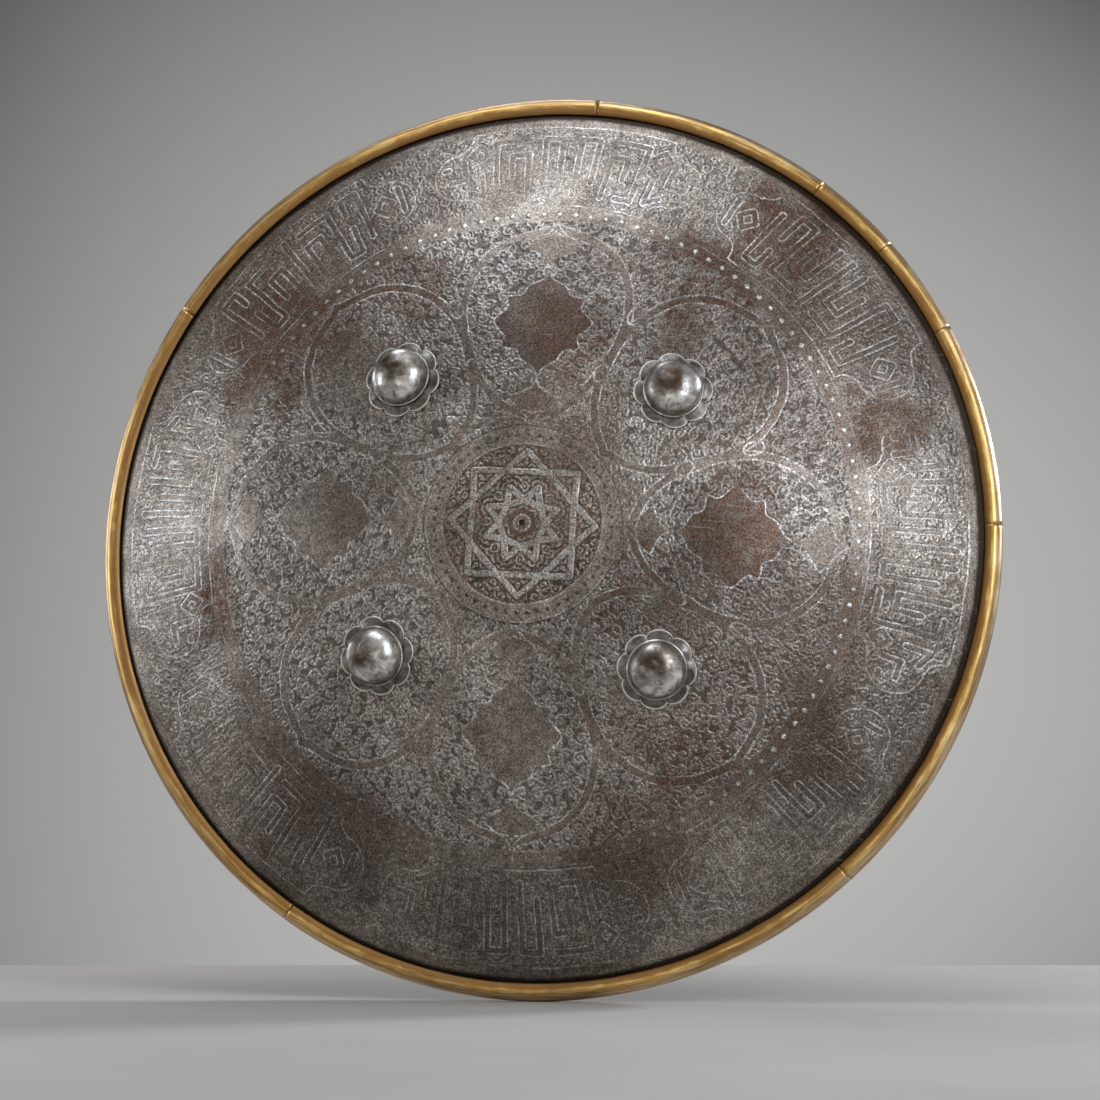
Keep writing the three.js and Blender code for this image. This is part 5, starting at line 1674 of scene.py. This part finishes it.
def pad_tufts(settings, surface):
    """Two small crossed stitches wherever the sewn lines of the quilting cross."""
    parts, centres = [], []
    step = settings.channel / math.sqrt(2)
    for i in range(-4, 5):
        for j in range(-4, 5):
            x, z = i * step, j * step
            if (i + j) % 2 == 0 and max(abs(x), abs(z)) < PAD_SIDE * TUFT_REACH:
                centres.append((x, z))
    nearest = tree_of(surface)
    for x, z in centres:
        foot = bowl_point(np.array(x), np.array(z), 0.0)
        way = bowl_point(np.array(x), np.array(z), 1.0) - foot
        depth = float((np.array(nearest.find(foot + way * (PAD_FRONT + settings.height))[0]) - foot) @ way)
        for turn in (0, math.pi / 2):
            ends = [(x + d * math.cos(turn), z + d * math.sin(turn)) for d in TUFT_STEPS]
            flat = np.array(ends)
            line_points = bowl_point(flat[:, 0], flat[:, 1], depth + 0.35)
            outs = bowl_point(flat[:, 0], flat[:, 1], 40.0) - line_points
            parts.append(stitches("tuft", line_points, outs, 4.2, 0.55, 9.0))
    return merged("pad_tuft_stitches", parts)


# The stage

# The fitted focal length and the picture's width, in pixels
FOCAL_PIXELS, PICTURE = 6486.6, 1100.0


class StageSettings(bpy.types.PropertyGroup):
    azimuth: FloatProperty(name="Azimuth", description="Turn of the camera round the shield", subtype="ANGLE",
                           default=math.radians(11.27))
    elevation: FloatProperty(name="Elevation", description="Height of the camera", subtype="ANGLE",
                             default=math.radians(-8.46))
    roll: FloatProperty(name="Roll", description="Turn of the camera on its own axis", subtype="ANGLE",
                        default=math.radians(4.29))
    distance: FloatProperty(name="Distance", description="Camera to the middle of the shield",
                            subtype="DISTANCE", default=3.2)
    focal_share: FloatProperty(name="Focal share", description="Focal length over the sensor's width",
                               default=FOCAL_PIXELS / PICTURE)
    floor_tilt: FloatProperty(name="Floor tilt", description="How far the floor rises away from the camera",
                              subtype="ANGLE", default=math.radians(0.0))
    floor: FloatVectorProperty(name="Floor", subtype="COLOR", default=(0.315, 0.288, 0.262))
    light: FloatProperty(name="Light", description="Strength of all lamps, as a share of their own power",
                         default=1.0)
    surround: FloatProperty(name="Surround", description="Strength of the room's light", default=0.50)


# Lamps: watts, their way from the middle (right, up and back as the camera sees them), and size in metres
LAMPS = [
    ("above", 13.8, (-0.15, 0.95, 0.20), (1.0, 1.0)), ("above_back", 6.5, (-0.18, 0.84, -0.50), (0.9, 0.35)),
    ("right", 16.0, (0.50, 0.38, 0.75), (0.6, 1.3)), ("left", 7.4, (-0.95, 0.18, 0.14), (0.65, 0.8)),
    ("left_back", 6.0, (-0.84, 0.12, -0.52), (0.3, 0.7)), ("side", 42.0, (0.94, 0.30, -0.30), (0.28, 0.36)),
]
LAMP_COLOUR = (0.90, 1.0, 1.12)
# Pale panels in the room: their way as the lamps have it, where they begin, and how strong they are
PANELS = [((-0.35, 0.10, 0.93), 0.88, 0.55), ((-0.1, -0.45, 0.89), 0.70, 0.75)]
# from the middle of the shield to each lamp, in metres
LAMP_DISTANCE = 1.9
SENSOR_MM = 36.0
# Where the shield's middle lies in the picture
MIDDLE_PIXEL = (550.2, 547.25)
# Half of what the camera sees, as a sine
HALF_VIEW = 0.0848
# The floor in millimetres, how many points it has along each side, and from where to where it fades
FLOOR_HALF_WIDTH, FLOOR_NEAR, FLOOR_FAR, FLOOR_POINTS = 1500, 236, 1700, 40
FLOOR_FADE_AHEAD, FLOOR_FADE_ASIDE = (1650, 1300), (1450, 1100)
# The floor's colour in what glossy rays see of it, mixed half and half with its own
GLOSSY_FLOOR = (0.55, 0.53, 0.50)
# The backdrop's pool of light: how far below the middle, its level, fall, tilt to the right and least tone
POOL_DROP, POOL_LEVEL, POOL_FALL, POOL_TILT, POOL_LEAST = 0.25, 0.50, 0.15, 0.06, 0.10
ROOM_COLOUR = (1.0, 0.995, 0.985)


def camera_axes(settings):
    """The camera's back, right and up, in the frame."""
    azimuth, elevation, roll = settings.azimuth, settings.elevation, settings.roll
    back = Vector((math.sin(azimuth) * math.cos(elevation), -math.cos(azimuth) * math.cos(elevation),
                   math.sin(elevation)))
    level = Vector((math.cos(azimuth), math.sin(azimuth), 0))
    upright = back.cross(level)
    right = level * math.cos(roll) + upright * math.sin(roll)
    return back, right, back.cross(right)


def make_camera(settings):
    """The camera, shifted so that the shield's middle falls where the photograph has it."""
    back, right, up = camera_axes(settings)
    data = bpy.data.cameras.new("camera")
    data.sensor_width = SENSOR_MM
    data.lens = settings.focal_share * SENSOR_MM
    data.shift_x = (PICTURE / 2 - MIDDLE_PIXEL[0]) / PICTURE
    data.shift_y = (MIDDLE_PIXEL[1] - PICTURE / 2) / PICTURE
    camera = bpy.data.objects.new("camera", data)
    bpy.context.scene.collection.objects.link(camera)
    turn = Matrix((right, up, back)).transposed().to_4x4()
    camera.matrix_world = Matrix.Translation(back * settings.distance) @ turn
    bpy.context.scene.camera = camera


def make_lamp(name, settings, direction, size, power):
    """A soft oblong lamp that looks at the middle, its direction as the camera sees it."""
    back, right, up = camera_axes(settings)
    data = bpy.data.lights.new(name, "AREA")
    data.shape, data.size, data.size_y = "RECTANGLE", size[0], size[1]
    data.energy, data.color = power, LAMP_COLOUR
    lamp = bpy.data.objects.new(name, data)
    bpy.context.scene.collection.objects.link(lamp)
    place = (right * direction[0] + up * direction[1] + back * direction[2]).normalized() * LAMP_DISTANCE
    lamp.location = place
    lamp.rotation_mode = "QUATERNION"
    lamp.rotation_quaternion = (-place).to_track_quat("-Z", "Y")
    lamp.visible_camera = False


def floor_mesh(settings):
    """A wide floor that touches the lowest point of the rim as the camera sees it."""
    back, right, up = camera_axes(settings)
    tilt = settings.floor_tilt
    normal = up * math.cos(tilt) + back * math.sin(tilt)
    lowest = min((Vector((SHIELD_RADIUS * math.cos(a), -BEAD_BACK, SHIELD_RADIUS * math.sin(a))).dot(normal)
                  for a in np.linspace(0, TURN, 720)))
    ahead = right.cross(normal)
    steps = FLOOR_POINTS
    u, v = np.meshgrid(np.linspace(-FLOOR_HALF_WIDTH, FLOOR_HALF_WIDTH, steps),
                       np.linspace(-FLOOR_NEAR, FLOOR_FAR, steps), indexing="ij")
    points = u[..., None] * np.array(right) + v[..., None] * np.array(ahead) + lowest * np.array(normal)
    points = points.reshape(-1, 3)
    i, j = np.meshgrid(np.arange(steps - 1), np.arange(steps - 1), indexing="ij")
    start = (i * steps + j).ravel()
    quads = np.stack([start, start + steps, start + steps + 1, start + 1], -1)
    mesh = make_mesh("floor", points, quads)
    # the floor ends behind the shield, and fades out past the picture's other edges
    shown = smooth(*FLOOR_FADE_AHEAD, v) * smooth(*FLOOR_FADE_ASIDE, np.abs(u))
    give(mesh, {"shown": shown.ravel(), "ahead": v.ravel() * MM, "aside": u.ravel() * MM})
    return mesh


def floor_paint(settings):
    """Matt paint that fades out at the floor's edges, and is brighter to glossy rays."""
    finish = Finish("floor_paint", roughness=0.85, specular_ior_level=0.15)
    speck, cloud = finish.noise(1.2, 3, 0.6), finish.noise(260, 3, 0.5)
    colour = finish.mix(finish.span(cloud, 0.3, 0.7), settings.floor, [v * 0.9 for v in settings.floor])
    colour = finish.mix(finish.span(speck, 0.3, 0.7, 0.0, 0.2), colour, [v * 0.82 for v in settings.floor])
    glossy = finish.node("ShaderNodeLightPath").outputs["Is Glossy Ray"]
    colour = finish.mix(finish.times(glossy, 0.5), colour, GLOSSY_FLOOR)
    finish.set(base_color=colour, normal=finish.bump(speck, 0.15))
    clear = finish.node("ShaderNodeBsdfTransparent")
    blend = finish.node("ShaderNodeMixShader")
    finish.feed(blend.inputs["Fac"], finish.attribute("shown"))
    finish.tree.links.new(clear.outputs["BSDF"], blend.inputs[1])
    finish.tree.links.new(finish.shader.outputs["BSDF"], blend.inputs[2])
    finish.tree.links.new(blend.outputs["Shader"], finish.tree.nodes["Material Output"].inputs["Surface"])
    return finish.material


def make_world(settings):
    """A plain grey room. The camera itself sees a backdrop with a soft pool of light."""
    back, right, up = camera_axes(settings)
    world = bpy.data.worlds.new("room")
    world.use_nodes = True
    bpy.context.scene.world = world
    graph = Graph(world.node_tree)
    place = graph.node("ShaderNodeTexCoord").outputs["Generated"]

    def lean(axis, low, high, to_low, to_high, clamp=True):
        """How far the view leans along an axis, from low to high, turned evenly into to_low to to_high."""
        dot = graph.node("ShaderNodeVectorMath", operation="DOT_PRODUCT")
        graph.feed(dot.inputs[0], place)
        graph.feed(dot.inputs[1], axis)
        return graph.span(dot.outputs["Value"], low, high, to_low, to_high, interpolation_type="LINEAR",
                          clamp=clamp)

    # the tone behind the shield: a soft pool of light, a little brighter at the right
    aside = lean(right, -HALF_VIEW, HALF_VIEW, -1, 1, False)
    down = lean(up, -HALF_VIEW, HALF_VIEW, 1, -1, False)
    lower = graph.minus(down, POOL_DROP)
    away = graph.plus(graph.times(aside, aside), graph.times(lower, lower))
    pool = graph.minus(POOL_LEVEL, graph.times(away, POOL_FALL))
    level = graph.minus(1.0, graph.math("MINIMUM", graph.times(down, down), 1.0))
    tilted = graph.times(graph.times(aside, POOL_TILT), level)
    seen = graph.larger(graph.plus(pool, tilted), POOL_LEAST)
    # what lights the shield and shows in its metal: darker where the camera stands
    room = lean(up, -1.0, 1.0, settings.surround * 0.8, settings.surround * 1.2)
    room = graph.times(room, lean(back, -0.6, 0.6, 0.45, 1.0))
    room = graph.times(room, lean(back, 0.86, 0.99, 1.0, 0.35))
    # two pale panels beside and below the camera
    for way, low, strength in PANELS:
        middle = (right * way[0] + up * way[1] + back * way[2]).normalized()
        room = graph.plus(room, lean(middle, low, 0.99, 0.0, strength))
    pick = graph.node("ShaderNodeMix", data_type="FLOAT")
    camera_ray = graph.node("ShaderNodeLightPath").outputs["Is Camera Ray"]
    for socket, value in zip((pick.inputs[0], pick.inputs[2], pick.inputs[3]), (camera_ray, room, seen)):
        graph.feed(socket, value)
    graph.fill(graph.tree.nodes["Background"], Strength=pick.outputs[0], Color=ROOM_COLOUR)


# Operators

class DHAL_OT_plate(bpy.types.Operator):
    """Make the engraved plate, face and back"""
    bl_idname = "dhal.plate"
    bl_label = "Plate"

    def execute(self, context):
        settings = context.scene.dhal_plate
        piece(plate_face(settings), engraved_steel(settings), "shield", ["shield_plate"])
        piece(plate_back(settings), back_steel(), "shield", ["shield_plate"])
        return {"FINISHED"}


class DHAL_OT_rim(bpy.types.Operator):
    """Roll the eight brass strips over the plate's edge"""
    bl_idname = "dhal.rim"
    bl_label = "Brass rim"

    def execute(self, context):
        settings = context.scene.dhal_rim
        finish = brass(settings)
        for index in range(len(STRIP_STARTS_DEG)):
            strip = rim_strip(index, settings)
            piece(strip, finish, "shield", [f"rim_strip_{index + 1}"])
        return {"FINISHED"}


class DHAL_OT_bosses(bpy.types.Operator):
    """Make the four polished bosses and their rosettes"""
    bl_idname = "dhal.bosses"
    bl_label = "Bosses and rosettes"

    def execute(self, context):
        settings = context.scene.dhal_bosses
        polished, petals = boss_steel(settings, "boss_steel", 0), boss_steel(settings, "rosette_steel", 1)
        for name in CORNERS:
            dome, rosette = boss_dome(name, settings), boss_rosette(name, settings)
            piece(dome, polished, "shield", ["boss_dome_" + name])
            piece(rosette, petals, "shield", ["boss_rosette_" + name])
        return {"FINISHED"}


class DHAL_OT_fittings(bpy.types.Operator):
    """Make the washers, ring bolts and rings behind the plate"""
    bl_idname = "dhal.fittings"
    bl_label = "Back fittings"

    def execute(self, context):
        settings = context.scene.dhal_fittings
        finish = iron(settings)
        for seed, name in enumerate(CORNERS):
            flat, bolt = washer(name), ring_bolt(name, settings)
            piece(flat, finish, "shield", ["back_washer_" + name])
            piece(bolt, finish, "shield", ["ring_bolt_" + name])
            level, side = name.split("_")
            loop = wire_ring(ring_centre(name), (0, 1, 0), RING_RADIUS, RING_WIRE_RADIUS, *RING_FACES,
                             settings.forging, 100 + seed)
            mesh = closed_mesh("forged_ring_" + name, *loop)
            piece(mesh, finish, f"{side}_{level}_ring", ["ring_" + name])
        return {"FINISHED"}


class DHAL_OT_grips(bpy.types.Operator):
    """Make both grips: strap, padded sleeve, sewing and binding"""
    bl_idname = "dhal.grips"
    bl_label = "Grips"

    def execute(self, context):
        settings = context.scene.dhal_grips
        strap_finish = leather("strap_leather", *STRAP_LEATHER, 1.1, 0.46)
        sleeve_finish = leather("grip_leather", *SLEEVE_LEATHER, 0.9, 0.40, 0.5)
        waxed = thread("waxed_thread", GRIP_THREAD)
        for side in ("left", "right"):
            body = side + "_grip"
            strap = grip_strap(side, settings)
            sleeve, cloth = grip_sleeve(side, settings)
            piece(strap, strap_finish, body, ["grip_strap_" + side])
            piece(sleeve, sleeve_finish, body, ["grip_sleeve_" + side])
            for mesh in (sleeve_stitches(side, settings, cloth), end_binding(side, settings)):
                piece(mesh, waxed, body)
        return {"FINISHED"}


class DHAL_OT_pad(bpy.types.Operator):
    """Make the hide backing and the quilted knuckle pad"""
    bl_idname = "dhal.pad"
    bl_label = "Hide and pad"

    def execute(self, context):
        settings = context.scene.dhal_pad
        hide_finish = leather("hide", *HIDE_LEATHER, 1.3, 0.62)
        pad_finish = leather("pad_leather", settings.leather, [v * 0.5 for v in settings.leather],
                             settings.worn, 0.8, 0.38, 0.4)
        waxed = thread("pad_thread", PAD_THREAD)
        hide, lift = hide_backing()
        piece(hide, hide_finish, "shield", ["pad_backing"])
        pad, seam, up, surface = pad_cover(settings)
        piece(pad, pad_finish, "shield", ["knuckle_pad"])
        piping = pad_piping(seam, up)
        piece(piping, pad_finish, "shield")
        sewing = hide_stitches(lift)
        piece(sewing, waxed, "shield")
        tufts = pad_tufts(settings, surface)
        piece(tufts, waxed, "shield")
        return {"FINISHED"}


class DHAL_OT_stage(bpy.types.Operator):
    """Make the camera, lamps, room light and floor"""
    bl_idname = "dhal.stage"
    bl_label = "Stage"

    def execute(self, context):
        settings = context.scene.dhal_stage
        context.scene.view_settings.view_transform = "Standard"
        make_camera(settings)
        make_world(settings)
        for name, power, way, size in LAMPS:
            make_lamp("lamp_" + name, settings, way, size, power * settings.light)
        ground = bpy.data.objects.new("floor", floor_mesh(settings))
        ground.data.materials.append(floor_paint(settings))
        context.scene.collection.objects.link(ground)
        return {"FINISHED"}


class DHAL_PT_panel(bpy.types.Panel):
    """Settings of every group of pieces, and the buttons that make them"""
    bl_idname = "DHAL_PT_panel"
    bl_label = "Dhal Shield"
    bl_space_type = "VIEW_3D"
    bl_region_type = "UI"
    bl_category = "Dhal Shield"

    def draw(self, context):
        for name, _, operator in GROUPS:
            box = self.layout.box()
            for key in getattr(context.scene, name).__annotations__:
                box.prop(getattr(context.scene, name), key)
            box.operator(operator.bl_idname)


GROUPS = [
    ("dhal_plate", PlateSettings, DHAL_OT_plate),
    ("dhal_rim", RimSettings, DHAL_OT_rim),
    ("dhal_bosses", BossSettings, DHAL_OT_bosses),
    ("dhal_fittings", FittingSettings, DHAL_OT_fittings),
    ("dhal_grips", GripSettings, DHAL_OT_grips),
    ("dhal_pad", PadSettings, DHAL_OT_pad),
    ("dhal_stage", StageSettings, DHAL_OT_stage),
]


def register():
    for name, settings, operator in GROUPS:
        bpy.utils.register_class(settings)
        bpy.utils.register_class(operator)
        setattr(bpy.types.Scene, name, PointerProperty(type=settings))
    bpy.utils.register_class(DHAL_PT_panel)


def unregister():
    bpy.utils.unregister_class(DHAL_PT_panel)
    for name, settings, operator in reversed(GROUPS):
        delattr(bpy.types.Scene, name)
        bpy.utils.unregister_class(operator)
        bpy.utils.unregister_class(settings)


def main():
    register()
    bpy.ops.dhal.stage()
    bpy.ops.dhal.plate()
    bpy.ops.dhal.rim()
    bpy.ops.dhal.bosses()
    bpy.ops.dhal.fittings()
    bpy.ops.dhal.grips()
    bpy.ops.dhal.pad()


if __name__ == "__main__":
    main()
